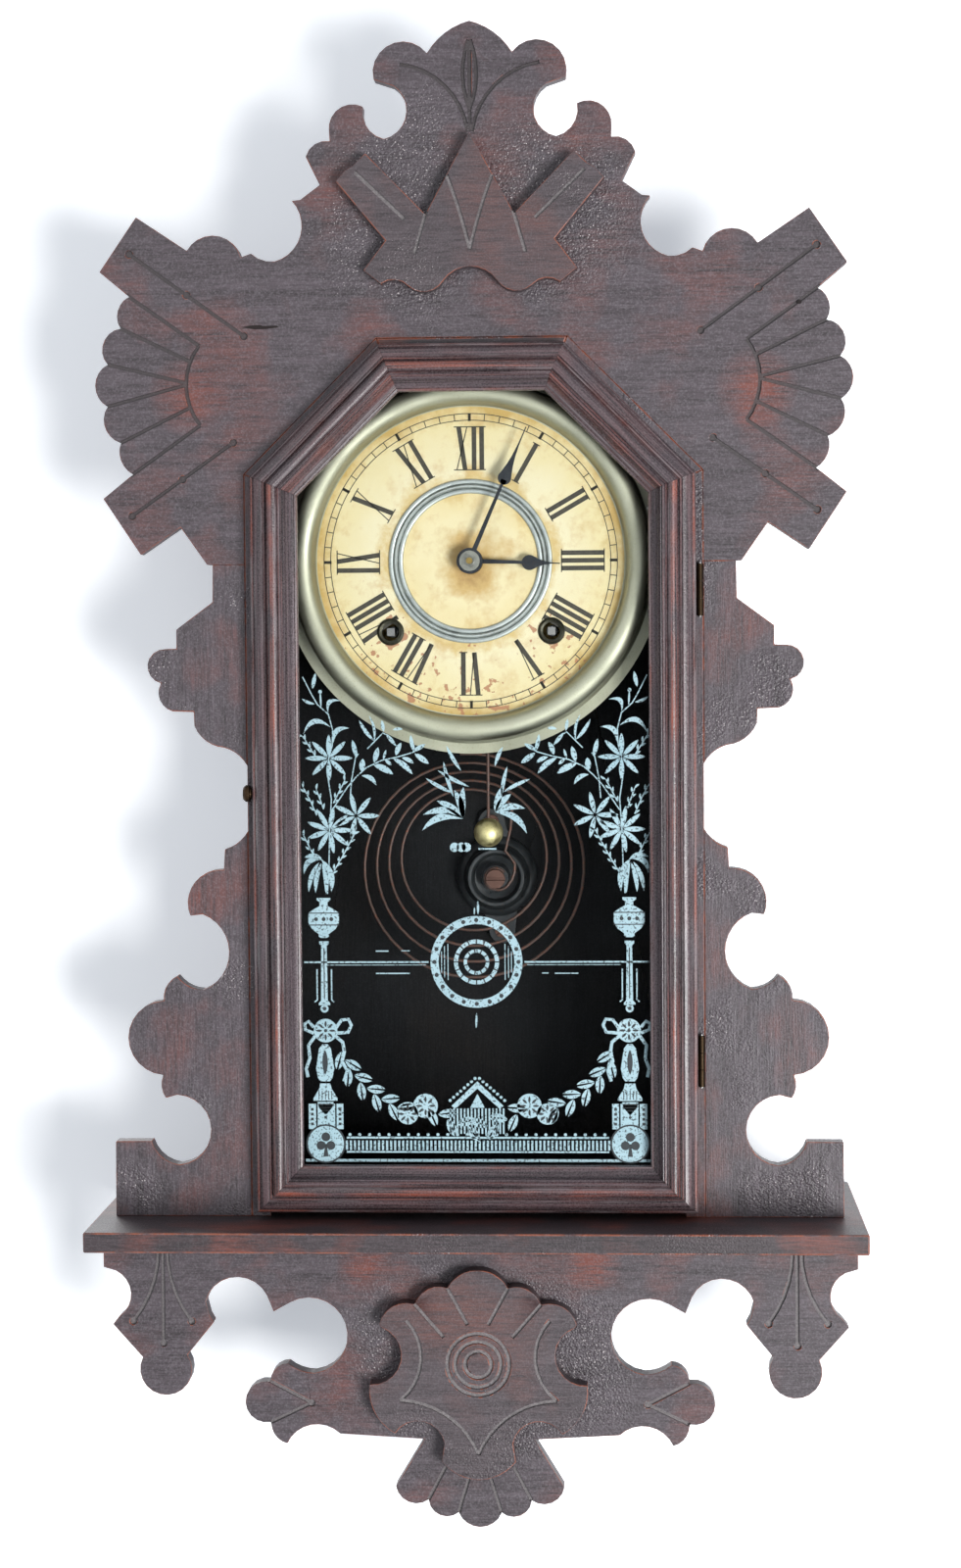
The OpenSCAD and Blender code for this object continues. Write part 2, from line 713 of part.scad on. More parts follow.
function coil_point(i) =
    let (a = coil_start - 360 * i / coil_rings, out = 1 - i / coil_steps)
    [coil_centre[0], coil_centre[1] - coil_sag * out]
        + (coil_r0 + (coil_r1 - coil_r0) * out) * [cos(a), sin(a)];

// After the last turn the wire runs in to the screw and closes a loop round it
wire_stem = [[8, 30], [7.4, 24], [6, 18.5], [4.9, 13.6], [7.4, 10.6], [9.6, 7.4], [9.4, 3.4], [8, -0.6]];
loop_a0 = -35;
loop_sweep = 290;

coil_line = concat(
    [for (i = [0:coil_steps]) coil_point(i)],
    [for (q = wire_stem) [gong_x, gong_z] + q],
    [for (k = [0:20]) let (a = loop_a0 - loop_sweep * k / 20, r = loop_r + 1.6 * max(0, 1 - k / 4))
        [gong_x, gong_z] + r * [cos(a), sin(a)]]);

// Least gap between any two stretches of the wire that are not neighbours
coil_gap = min([for (i = [0:len(coil_line) - 1], j = [i + 8:1:len(coil_line) - 1])
    norm(coil_line[i] - coil_line[j])]) - 2 * wire_r;
echo(coil_gap = coil_gap);

// A six-sided wire swept along points in one plane
module flat_wire(p, r, sides = 6) {
    n = len(p);
    pts = [for (i = [0:n - 1], k = [0:sides - 1])
        let (q = p[i] + r * cos(360 * k / sides) * normal_at(p, i))
        [q[0], q[1], r * sin(360 * k / sides)]];
    skin = [for (i = [0:n - 2], k = [0:sides - 1])
        let (a = i * sides + k, b = i * sides + (k + 1) % sides)
        each [[a, a + sides, b], [b, a + sides, b + sides]]];
    start = [for (k = [0:sides - 1]) k];
    finish = [for (k = [sides - 1:-1:0]) (n - 1) * sides + k];
    polyhedron(pts, concat(skin, [start, finish]));
}

module gong_coil() {
    color(steel) face(gong_f) flat_wire(coil_line, wire_r);
}

// ---- dial ----

module winding_holes(r) {
    for (s = [-1, 1])
        translate([s * wind_x, -wind_drop, -5]) cylinder(h = 20, r = r, $fn = 32);
}

// Section of the spun pan: radius and depth from the wall, front skin from the middle out
function pan_skin() = concat(
    [[paper_r + 0.5, pan_back_f + pan_t], [paper_r + 1.8, pan_back_f + 3.5]],
    arc3([paper_r + 1.8, pan_back_f + 3.5], [paper_r + 3.2, pan_back_f + 8.2],
        [paper_r + 6, pan_back_f + 9.2], 5),
    arc3([paper_r + 6, pan_back_f + 9.2], [paper_r + 9.5, pan_back_f + 8.6],
        [pan_r - 6.5, pan_back_f + 4], 5),
    [[pan_r - 6.3, pan_lip_f + 2.2], [pan_r - 4.8, pan_lip_f + pan_t]]);

module dial_pan() {
    skin = pan_skin();
    n = len(skin);
    back = [for (i = [n - 1:-1:0]) let (m = normal_at(skin, i)) skin[i] - m * pan_t];
    color(nickel) difference() {
        dial_face() union() {
            translate([0, 0, pan_back_f]) cylinder(h = pan_t, r = paper_r + 0.6, $fn = 96);
            rotate_extrude($fn = 96) polygon(concat(skin, [[pan_r, pan_lip_f + pan_t],
                [pan_r, pan_lip_f]], back));
        }
        dial_face(pan_back_f) {
            translate([0, 0, -1]) cylinder(h = 3, r = 7, $fn = 32);
            winding_holes(wind_hole_r);
        }
        dial_screw_places(fit);
    }
}

module dial_paper() {
    color([0.93, 0.86, 0.66]) dial_face(dial_f - 0.3) difference() {
        cylinder(h = 0.3, r = paper_r, $fn = 96);
        translate([0, 0, -1]) cylinder(h = 3, r = 6, $fn = 32);
        winding_holes(wind_hole_r);
    }
}

ring_r0 = 31.8;
ring_r1 = 38.6;

module dial_ring() {
    bead = (ring_r1 - ring_r0) / 3;
    color(nickel) dial_face(dial_f) rotate_extrude($fn = 96)
        polygon(concat([[ring_r0, 0]],
            [for (b = [0:2], k = [b > 0 ? 1 : 0:5]) let (a = 180 - 36 * k)
                [ring_r0 + bead * (b + 0.5) + bead / 2 * cos(a),
                 0.5 + (b == 1 ? 1.3 : 0.8) * sin(a)]],
            [[ring_r1, 0]]));
}

module dial_grommets() {
    color(nickel) dial_face(dial_f) for (s = [-1, 1])
        translate([s * wind_x, -wind_drop, 0]) rotate_extrude($fn = 48)
            polygon([[wind_hole_r, -2.5], [wind_hole_r - 0.5, -2.5], [wind_hole_r - 0.5, 0.9],
                [wind_hole_r + 0.6, 1.2], [wind_hole_r + 1.7, 0.6], [wind_hole_r + 1.8, 0],
                [wind_hole_r, 0]]);
}

// ---- movement: plates ----

foot_h = plate_back_f - plate_t - back_t;
front_f = plate_front_f + plate_t;

// Arbor centres, about the hand centre
great_m = 0.9;
second_m = 0.85;
center_m = 0.72;
third_m = 0.66;
second_leaves = 8;
center_leaves = 8;
third_leaves = 6;
escape_leaves = 6;

// The point at distance ra from a and rb from b, on the left of the way from a to b
function meet(a, ra, b, rb) =
    let (d = norm(b - a), u = (b - a) / d, k = (ra * ra + d * d - rb * rb) / (2 * d),
         h = sqrt(max(ra * ra - k * k, 0)))
    a + u * k + [-u[1], u[0]] * h;

great_p = [wind_x, -wind_drop];
second_p = meet([0, 0], (second_teeth + center_leaves) * second_m / 2,
    great_p, (great_teeth + second_leaves) * great_m / 2);
swing_p = [pendulum_x, suspend_rise];
escape_r = 16;
escape_p = swing_p + [0, escape_r + 3.4];
third_p = meet([0, 0], (center_teeth + third_leaves) * center_m / 2,
    escape_p, (third_teeth + escape_leaves) * third_m / 2);
strike_great_p = [-great_p[0], great_p[1]];
strike_second_p = [-second_p[0], second_p[1]];
strike_third_teeth = 50;
strike_third_p = strike_second_p + (second_teeth + center_leaves) * second_m / 2 * [cos(113), sin(113)];
fly_leaves = 6;
fly_p = strike_third_p + (strike_third_teeth + fly_leaves) * third_m / 2 * [cos(47), sin(47)];
hammer_p = [-4, -60];
minute_wheel_d = 19.2;
minute_wheel_p = minute_wheel_d * [-cos(20), sin(20)];
pillar_p = [[68, -54], [-68, -54], [50, 56], [-50, 56]];

module plate_line() {
    half = [[54, -71], [64, -64], [72.5, -55], [72, -46], [56, 62]];
    polygon(concat(half, flip(half)));
}

// Every arbor that passes through or stands in a plate: place and radius
arbor_places = concat([for (p = [great_p, strike_great_p]) [p, wind_arbor_r]],
    [for (p = [second_p, strike_second_p, third_p, escape_p, strike_third_p, fly_p, hammer_p])
        [p, arbor_r]],
    [[[0, 0], minute_arbor_r]]);

module pivot_holes() {
    for (h = arbor_places)
        translate([h[0][0], h[0][1], -1]) cylinder(h = plate_t + 2, r = h[1] + pivot_gap, $fn = 24);
    for (p = pillar_p)
        translate([p[0], p[1], -1]) cylinder(h = plate_t + 2, r = 1.5 + fit, $fn = 24);
}

module movement_back_plate() {
    color(brass) {
        difference() {
            dial_face(plate_back_f - plate_t) difference() {
                linear_extrude(plate_t) plate_line();
                pivot_holes();
            }
            movement_screw_places(fit);
        }
        difference() {
            dial_face(back_t) for (s = [-1, 1], y = foot_y)
                translate([s * foot_x, y, 0]) cylinder(h = foot_h, r = 5, $fn = 32);
            movement_screw_places(fit);
        }
    }
}

post_p = swing_p + [-4.5, -3];
post_r = 1.4;
verge_pin_r = 0.8;

module movement_front_plate() {
    color(brass) dial_face(plate_front_f) difference() {
        linear_extrude(plate_t) plate_line();
        pivot_holes();
        translate([minute_wheel_p[0], minute_wheel_p[1], -1])
            cylinder(h = plate_t + 2, r = arbor_r + fit, $fn = 24);
        translate([post_p[0], post_p[1], -1]) cylinder(h = plate_t + 2, r = post_r + fit, $fn = 24);
        translate([swing_p[0], swing_p[1], -1])
            cylinder(h = plate_t + 2, r = verge_pin_r + fit, $fn = 24);
    }
}

module movement_pillars() {
    color(brass) dial_face(plate_back_f) for (p = pillar_p) translate([p[0], p[1], 0]) {
        cylinder(h = plate_front_f - plate_back_f, r = pillar_r, $fn = 24);
        translate([0, 0, -plate_t - 1.4]) cylinder(h = plate_t + 1.4, r = 1.5, $fn = 24);
        translate([0, 0, plate_front_f - plate_back_f]) cylinder(h = plate_t + 3.4, r = 1.5, $fn = 24);
    }
}

module pillar_nuts() {
    color(steel) for (p = pillar_p) {
        dial_face(front_f) translate([p[0], p[1], 0]) difference() {
            cylinder(h = 2.6, r = 3.6, $fn = 6);
            translate([0, 0, -1]) cylinder(h = 5, r = 1.5 + fit, $fn = 24);
        }
    }
}

// Wound springs, one beside each great wheel, hooked round a pillar
spring_f = plate_back_f + 10.6;
spring_h = 10.5;

module mainsprings() {
    color(steel) dial_face(spring_f) for (p = [great_p, strike_great_p]) {
        s = sign(p[0]);
        gap = norm(pillar_p[0] - great_p) - pillar_r;
        translate([p[0], p[1], 0]) difference() {
            cylinder(h = spring_h, r = gap - 0.1, $fn = 64);
            translate([0, 0, -1]) cylinder(h = spring_h + 2, r = 9, $fn = 48);
        }
    }
}

// ---- movement: wheels ----

tooth_root = 0.38;
tooth_tip = 0.2;
pin_share = 0.45;

// A wheel blank with slender teeth, a tooth centred at angle a0, and four windows
module toothed(teeth, m, a0, t, bore, open = true) {
    r = teeth * m / 2;
    pitch = 360 / teeth;
    linear_extrude(t) difference() {
        polygon([for (i = [0:teeth - 1], q = [[-1.2, -tooth_root], [0.9, -tooth_tip],
                [0.9, tooth_tip], [-1.2, tooth_root]])
            let (a = a0 + pitch * (i + q[1] / 2)) (r + q[0] * m) * [cos(a), sin(a)]]);
        if (bore > 0) circle(r = bore, $fn = 24);
        if (open) for (k = [0:3])
            polygon(sector(r * 0.34, r * 0.8, 90 * k + 12, 90 * k + 78));
    }
}

// A lantern pinion between two caps, one pin centred at angle a0
module lantern(leaves, m, a0, h) {
    r = leaves * m / 2;
    pin = pin_share * m;
    for (z = [0, h - 0.6])
        translate([0, 0, z]) cylinder(h = 0.6, r = r + pin + 0.3, $fn = 32);
    for (i = [0:leaves - 1])
        rotate(a0 + 360 * i / leaves) translate([r, 0, 0.3])
            cylinder(h = h - 0.6, r = pin, $fn = 16);
}

// Angle at which a pinion of nb pins at q meshes with a wheel of na teeth at p, tooth at a0
function mesh(p, na, a0, q, nb) =
    let (phi = atan2(q[1] - p[1], q[0] - p[0]),
         f = turn(phi - a0) / (360 / na))
    phi + 180 - (0.5 - (f - floor(f))) * 360 / nb;

great_f = plate_back_f + 6;
great_t = 2;
layer_second = plate_front_f - 4;
layer_center = plate_front_f - 8;
layer_third = plate_front_f - 13;
layer_strike_second = plate_back_f + 2.6;
layer_strike_third = plate_back_f + 13.5;
minute_a = 90 - 6 * show_minute;
hour_a = 90 - 30 * (show_hour + show_minute / 60);

module arbor(p, f0, f1, r) {
    dial_face(f0) translate([p[0], p[1], 0]) cylinder(h = f1 - f0, r = r, $fn = 24);
}

square_a = 3.7;
ratchet_f = great_f + great_t + 0.4;
ratchet_teeth = 16;
ratchet_r = 8.2;

// The square that the key turns, a ratchet that the click holds, and the arbor
module winding_arbor(p) {
    arbor(p, plate_back_f - plate_t - 1, dial_f - 12, wind_arbor_r);
    dial_face(dial_f - 12) translate([p[0], p[1], 0])
        translate([-square_a / 2, -square_a / 2, 0]) cube([square_a, square_a, 11]);
    step = 360 / ratchet_teeth;
    dial_face(ratchet_f) translate([p[0], p[1], 0]) linear_extrude(1.4)
        polygon([for (i = [0:ratchet_teeth - 1], q = [0, 1])
            let (a = step * (i + 0.27 * q)) (ratchet_r - 1.4 * q) * [cos(a), sin(a)]]);
}

module time_winding_arbor() {
    color(steel) winding_arbor(great_p);
}

module strike_winding_arbor() {
    color(steel) winding_arbor(strike_great_p);
}

// The great wheel turns on the winding arbor and carries the click
module great_wheel(p) {
    dial_face(great_f) translate([p[0], p[1], 0]) {
        difference() {
            toothed(great_teeth, great_m, 0, great_t, wind_arbor_r + pivot_gap, false);
            for (k = [0:2])
                rotate(120 * k + 30) translate([20, 0, -1]) cylinder(h = great_t + 2, r = 6.5, $fn = 32);
        }
        translate([11.5, 0, great_t]) cylinder(h = 2, r = 1.4, $fn = 24);
        translate([11.5, 0, great_t + 0.4]) linear_extrude(1.4)
            polygon([[1.6, -1.6], [1.6, 3.5], [-2.6, 6.6], [-4.4, 5], [-1.5, 2], [-1.6, -1.6]]);
    }
}

module time_great_wheel() {
    color(brass) great_wheel(great_p);
}

module strike_great_wheel() {
    color(brass) great_wheel(strike_great_p);
}

second_a = mesh(great_p, great_teeth, 0, second_p, second_leaves);

module time_second_wheel() {
    color(brass) {
        arbor(second_p, plate_back_f - plate_t - 0.6, front_f + 0.6, arbor_r);
        dial_face(great_f - 0.9) translate([second_p[0], second_p[1], 0])
            lantern(second_leaves, great_m, second_a, great_t + 1.8);
        dial_face(layer_second) translate([second_p[0], second_p[1], 0])
            toothed(second_teeth, second_m, second_a, wheel_t, 0);
    }
}

center_a = mesh(second_p, second_teeth, second_a, [0, 0], center_leaves);
cannon_f = 57;
hand_f = dial_f + 7.5;
cannon_teeth = 12;
motion_m = 0.8;

module center_wheel() {
    color(brass) {
        arbor([0, 0], plate_back_f - plate_t - 0.6, hand_f + 3.6, minute_arbor_r);
        dial_face(layer_second - 1) lantern(center_leaves, second_m, center_a, wheel_t + 2);
        dial_face(layer_center) toothed(center_teeth, center_m, center_a, wheel_t, 0);
        dial_face(cannon_f) toothed(cannon_teeth, motion_m, minute_a, 3, 0, false);
    }
}

third_a = mesh([0, 0], center_teeth, center_a, third_p, third_leaves);

module third_wheel() {
    color(brass) {
        arbor(third_p, plate_back_f - plate_t - 0.6, front_f + 0.6, arbor_r);
        dial_face(layer_center - 1) translate([third_p[0], third_p[1], 0])
            lantern(third_leaves, center_m, third_a, wheel_t + 2);
        dial_face(layer_third) translate([third_p[0], third_p[1], 0])
            toothed(third_teeth, third_m, third_a, wheel_t, 0);
    }
}

escape_a = mesh(third_p, third_teeth, third_a, escape_p, escape_leaves);
escape_f = front_f + 1.8;

module escape_wheel() {
    color(brass) {
        arbor(escape_p, plate_back_f - plate_t - 0.6, escape_f + wheel_t + 0.6, arbor_r);
        dial_face(layer_third - 1) translate([escape_p[0], escape_p[1], 0])
            lantern(escape_leaves, third_m, escape_a, wheel_t + 2);
        dial_face(escape_f) translate([escape_p[0], escape_p[1], 0]) linear_extrude(wheel_t)
            difference() {
                polygon([for (i = [0:escape_teeth - 1], q = [0, 0.35]) let (a = 360 / escape_teeth * (i + q))
                    (q == 0 ? escape_r : escape_r - 2.4) * [cos(a), sin(a)]]);
                for (k = [0:3]) polygon(sector(4, 11.5, 90 * k + 14, 90 * k + 76));
            }
    }
}

// ---- escapement and pendulum ----

swing_f = front_f + 8;
strip_f = escape_f - 0.5;

// Bent strip of steel on its own pin, and the wire crutch that leads the rod
module verge() {
    strip_r = escape_r + 1.85;
    strip = [for (b = [-38:7.6:38]) strip_r * [sin(b), -cos(b)]];
    loop_y = -22;
    color(steel) dial_face() {
        difference() {
            union() {
                translate([escape_p[0], escape_p[1], strip_f]) linear_extrude(2.4)
                    polygon(stroke(strip, 1.2));
                translate([swing_p[0], swing_p[1], strip_f]) cylinder(h = 4.4, r = 2.2, $fn = 24);
            }
            translate([swing_p[0], swing_p[1], strip_f - 1])
                cylinder(h = 7, r = verge_pin_r + pivot_gap, $fn = 24);
        }
        translate([swing_p[0] - 0.6, swing_p[1] + loop_y, strip_f + 2.8]) cube([1.2, -loop_y - 1.6, 1.2]);
        for (s = [-1, 1])
            translate([swing_p[0] - 0.6 + s * (rod_r + 1.1), swing_p[1] + loop_y - 0.6, strip_f + 2.8])
                cube([1.2, 1.2, swing_f + 1.6 - strip_f - 2.8]);
        translate([swing_p[0] - rod_r - 1.7, swing_p[1] + loop_y - 0.6, strip_f + 2.8])
            cube([2 * rod_r + 3.4, 1.2, 1.2]);
    }
}

// Post with the clamp of the suspension spring, and the pin of the verge
module suspension_post() {
    color(brass) dial_face() {
        translate([post_p[0], post_p[1], plate_front_f])
            cylinder(h = swing_f + 1.5 - plate_front_f, r = post_r, $fn = 24);
        translate([post_p[0] - post_r, post_p[1] - post_r, swing_f - 1.5])
            cube([2 * post_r, 9.6, 3]);
        translate([post_p[0] - post_r, swing_p[1] + 1.2, swing_f - 1.5])
            cube([swing_p[0] + 3 - post_p[0] + post_r, 4, 3]);
        translate([swing_p[0], swing_p[1], plate_front_f]) cylinder(h = 6.9, r = verge_pin_r, $fn = 24);
    }
}

// Flat suspension spring above, round wire below
module pendulum_rod() {
    color(steel) dial_face() translate([swing_p[0], swing_p[1], swing_f]) {
        translate([-1.2, -14, -0.12]) cube([2.4, 14.9, 0.24]);
        translate([0, -13, 0]) rotate([90, 0, 0])
            cylinder(h = pendulum_l - 13 - bob_r + 0.4, r = rod_r, $fn = 24);
        translate([-1.6, -15.5, -1.2]) cube([3.2, 2.6, 2.4]);
    }
}

module pendulum_bob() {
    color(brass) dial_face() translate([swing_p[0], swing_p[1] - pendulum_l, swing_f]) difference() {
        sphere(r = bob_r, $fn = 48);
        rotate([-90, 0, 0]) translate([0, 0, bob_r - 0.45]) cylinder(h = 3, r = rod_r + fit, $fn = 24);
    }
}

// ---- strike train ----

strike_second_a = mesh(strike_great_p, great_teeth, 0, strike_second_p, second_leaves);

module strike_second_wheel() {
    color(brass) {
        arbor(strike_second_p, plate_back_f - plate_t - 0.6, front_f + 0.6, arbor_r);
        dial_face(great_f - 0.9) translate([strike_second_p[0], strike_second_p[1], 0])
            lantern(second_leaves, great_m, strike_second_a, great_t + 1.8);
        dial_face(layer_strike_second) translate([strike_second_p[0], strike_second_p[1], 0])
            toothed(second_teeth, second_m, strike_second_a, wheel_t, 0);
    }
}

strike_third_a = mesh(strike_second_p, second_teeth, strike_second_a, strike_third_p, center_leaves);

module strike_third_wheel() {
    color(brass) {
        arbor(strike_third_p, plate_back_f - plate_t - 0.6, front_f + 0.6, arbor_r);
        dial_face(layer_strike_second - 1) translate([strike_third_p[0], strike_third_p[1], 0])
            lantern(center_leaves, second_m, strike_third_a, wheel_t + 2);
        dial_face(layer_strike_third) translate([strike_third_p[0], strike_third_p[1], 0])
            toothed(strike_third_teeth, third_m, strike_third_a, wheel_t, 0);
    }
}

fly_a = mesh(strike_third_p, strike_third_teeth, strike_third_a, fly_p, fly_leaves);

module fly() {
    color(brass) {
        arbor(fly_p, plate_back_f - plate_t - 0.6, front_f + 0.6, arbor_r);
        dial_face(layer_strike_third - 1) translate([fly_p[0], fly_p[1], 0])
            lantern(fly_leaves, third_m, fly_a, wheel_t + 2);
        dial_face(layer_strike_third + 7.5) translate([fly_p[0] - 8.5, fly_p[1] - 0.5, 0])
            cube([17, 1, 8]);
    }
}

hammer_r = 5;
hammer_reach = [-18, -26];
hammer_f = gong_f;

// Arbor, wire and head, hidden behind the dial: the head rests clear of the coil
module strike_hammer() {
    l = norm(hammer_reach);
    a = atan2(hammer_reach[1], hammer_reach[0]);
    color(steel) {
        arbor(hammer_p, plate_back_f - plate_t - 0.6, front_f + 0.6, arbor_r);
        dial_face(hammer_f) translate([hammer_p[0], hammer_p[1], 0]) {
            translate([0, 0, -2]) cylinder(h = 4, r = 2.4, $fn = 24);
            rotate(a) rotate([0, 90, 0]) translate([0, 0, 2]) cylinder(h = l - 5, r = 0.9, $fn = 24);
            rotate(a) translate([l, 0, 0]) rotate([90, 0, 0])
                translate([0, 0, -4.5]) cylinder(h = 9, r = hammer_r - 1, $fn = 32);
        }
    }
}

// ---- motion work and hands ----

minute_wheel_teeth = 36;
minute_pinion_teeth = 10;
hour_teeth = 40;
hour_m = 2 * minute_wheel_d / (minute_pinion_teeth + hour_teeth);
hour_f = cannon_f + 5;
pipe_r = 4.2;
minute_wheel_a = mesh([0, 0], cannon_teeth, minute_a, minute_wheel_p, minute_wheel_teeth);

module minute_wheel() {
    color(brass) dial_face() translate([minute_wheel_p[0], minute_wheel_p[1], 0]) {
        translate([0, 0, plate_front_f - 0.8])
            cylinder(h = cannon_f - plate_front_f + 8.5, r = arbor_r, $fn = 24);
        translate([0, 0, cannon_f + 0.8])
            toothed(minute_wheel_teeth, motion_m, minute_wheel_a, wheel_t, 0, false);
        translate([0, 0, hour_f - 0.4])
            toothed(minute_pinion_teeth, hour_m, minute_wheel_a, wheel_t + 0.8, 0, false);
    }
}

hour_wheel_a = mesh(minute_wheel_p, minute_pinion_teeth, minute_wheel_a, [0, 0], hour_teeth);

module hour_wheel() {
    color(brass) dial_face(hour_f) difference() {
        union() {
            toothed(hour_teeth, hour_m, hour_wheel_a, wheel_t, 0, false);
            cylinder(h = hand_f - 3 - hour_f, r = pipe_r, $fn = 32);
        }
        translate([0, 0, -1]) cylinder(h = 40, r = minute_arbor_r + pivot_gap, $fn = 32);
    }
}

// A hand along +X: round eye, thin stem, round swelling and a long drawn-out point
module hand(l, belly, belly_r, eye, bore, t, a) {
    last = [belly + belly_r * cos(60), belly_r * sin(60)];
    tip = 0.25;
    g = asin(1.1 / eye);
    ring = [for (k = [0:28]) let (b = -g - (360 - 2 * g) * k / 28) eye * [cos(b), sin(b)]];
    half = concat([[belly - belly_r, 0.7]],
        [for (b = [160:-20:60]) [belly, 0] + belly_r * [cos(b), sin(b)]],
        [for (k = [0.2:0.2:1]) [last[0] + (l - last[0]) * k, tip + (last[1] - tip) * pow(1 - k, 3)]]);
    mirrored = [for (i = [len(half) - 1:-1:0]) [half[i][0], -half[i][1]]];
    rotate(a) difference() {
        linear_extrude(t) polygon(concat(ring, half, mirrored));
        translate([0, 0, -1]) cylinder(h = t + 2, r = bore, $fn = 32);
    }
}

hand_t = 0.6;
press = 0.02;
minute_l = paper_r - minute_gap;

module hour_hand() {
    color(steel) dial_face(hand_f - 3 - hand_t)
        hand(hour_l, hour_l * 0.66, 3.6, pipe_r + 1.6, pipe_r + press, hand_t, hour_a);
}

module minute_hand() {
    color(steel) dial_face(hand_f)
        hand(minute_l, minute_l * 0.62, 3.2, 6.1, minute_arbor_r + press, hand_t, minute_a);
}

// Washer and a taper pin through the end of the minute arbor
module hand_nut() {
    color(nickel) dial_face(hand_f + hand_t) difference() {
        union() {
            cylinder(h = 0.9, r = 4.8, $fn = 48);
            rotate(minute_a + 50) translate([-3.2, -0.7, 0.9]) cube([6.4, 1.4, 1.1]);
            translate([0, 0, 0.9]) cylinder(h = 0.7, r = 2.3, $fn = 32);
        }
        translate([0, 0, -1]) cylinder(h = 5, r = minute_arbor_r + press, $fn = 24);
    }
}

// ---- door ----

// Section of the frame moulding: distance in from the outer edge, height above its back.
// The swelling, torus, reeds and cove are arcs, and the steps between them are quirks.
function moulding() = concat(
    [[0, 0], [0, 7.6], [0.9, 8.6], [1.4, 8.6]],
    arc3([1.4, 8.6], [3.4, 11.4], [6.2, 12.4], 5),
    [[6.4, 11.7], [7.4, 12.3], [8, 11.5], [8.6, 12.2]],
    arc3([8.6, 12.2], [10.6, 15.6], [12.8, 14.8], 5),
    [[13.2, 13.6]],
    arc3([13.2, 13.6], [13.9, 14.3], [14.6, 13.5], 2),
    arc3([14.6, 13.5], [15.3, 14], [15.9, 13], 2),
    [[16.5, 13.2], [16.7, 12.2]],
    arc3([16.7, 12.2], [18.2, 8.6], [rail_w - 1.4, 7], 5),
    [[rail_w - 1.3, 7.6], [rail_w - 0.3, 7.3], [rail_w, 6.6], [rail_w, rebate_d],
     [rail_w - rebate_w, rebate_d], [rail_w - rebate_w, 0]]);

door_t = 16;

function door_line(d) = case_line(door_reveal + d, door_foot_z + d);

// One mitred length of the frame, from corner i to the next
module frame_length(i) {
    o = door_line(0);
    q = door_line(rail_w);
    j = (i + 1) % 6;
    d = o[j] - o[i];
    intersection() {
        linear_extrude(door_t) polygon([o[i], o[j], q[j], q[i]]);
        translate([o[i][0], o[i][1], 0]) rotate([0, 0, atan2(d[1], d[0])])
            rotate([90, 0, 90]) linear_extrude(norm(d)) polygon(moulding());
    }
}

spindle_r = 1.2;
pocket_x0 = case_half - wall_t - 0.3;
pocket_x1 = pocket_x0 - 4.4;

module door_stiles() {
    color(walnut) {
        difference() {
            face(door_f) frame_length(0);
            for (h = [hinge_low, hinge_high])
                face(hinge_f - leaf_t / 2)
                    translate([hinge_x - 10, shelf_t + h + knuckle_l, 0]) cube([11, knuckle_l, leaf_t]);
        }
        difference() {
            face(door_f) frame_length(4);
            face(catch_f) translate([-case_half, catch_z, 0]) rotate([0, 90, 0])
                translate([0, 0, -1]) cylinder(h = 12, r = spindle_r + pivot_gap, $fn = 24);
            face(door_f - 1) translate([-pocket_x0, catch_z - 3.2, 0])
                cube([pocket_x0 - pocket_x1, tongue_l + 4.4, catch_f - door_f + 1 + 3.2]);
        }
    }
}

module door_shoulders() {
    color(walnut) face(door_f) for (i = [1, 3]) frame_length(i);
}

module door_rails() {
    color(walnut) face(door_f) for (i = [2, 5]) frame_length(i);
}

bead_h = rebate_d - glass_t;

module door_glass() {
    color([0.75, 0.85, 0.85, 0.3]) face(door_f + bead_h)
        board(door_line(rail_w - rebate_w + 0.3), glass_t);
}

module glass_beads() {
    a = door_line(rail_w - rebate_w + fit);
    b = door_line(rail_w - 0.4);
    color(dark_wood) face(door_f) for (i = [0:5]) {
        j = (i + 1) % 6;
        board([a[i], a[j], b[j], b[i]], bead_h);
    }
}

module at_hinges() {
    for (h = [hinge_low, hinge_high])
        translate([hinge_x, -hinge_f, shelf_t + h - hang_z]) children();
}

run = 0.1;

module door_hinge_leaves() {
    color(brass) at_hinges() translate([0, 0, knuckle_l + run]) difference() {
        union() {
            cylinder(h = knuckle_l - 2 * run, r = knuckle_r, $fn = 32);
            translate([-10, -leaf_t / 2, 0]) cube([10, leaf_t, knuckle_l - 2 * run]);
        }
        translate([0, 0, -1]) cylinder(h = knuckle_l + 2, r = pin_r + pivot_gap, $fn = 32);
    }
}

module case_hinge_leaves() {
    color(brass) at_hinges() difference() {
        union() {
            for (k = [0, 2]) translate([0, 0, k * knuckle_l]) {
                cylinder(h = knuckle_l, r = knuckle_r, $fn = 32);
                translate([-leaf_t / 2, 0, 0]) cube([leaf_t, hinge_f - case_d + 1, knuckle_l]);
            }
            translate([-leaf_t / 2, hinge_f - case_d, 0])
                cube([leaf_t, hinge_slot_d, 3 * knuckle_l]);
        }
        translate([0, 0, -1]) cylinder(h = 3 * knuckle_l + 2, r = pin_r, $fn = 32);
    }
}

module hinge_pins() {
    color(steel) at_hinges() {
        translate([0, 0, -0.6]) cylinder(h = 3 * knuckle_l + 1.2, r = pin_r, $fn = 32);
    }
}

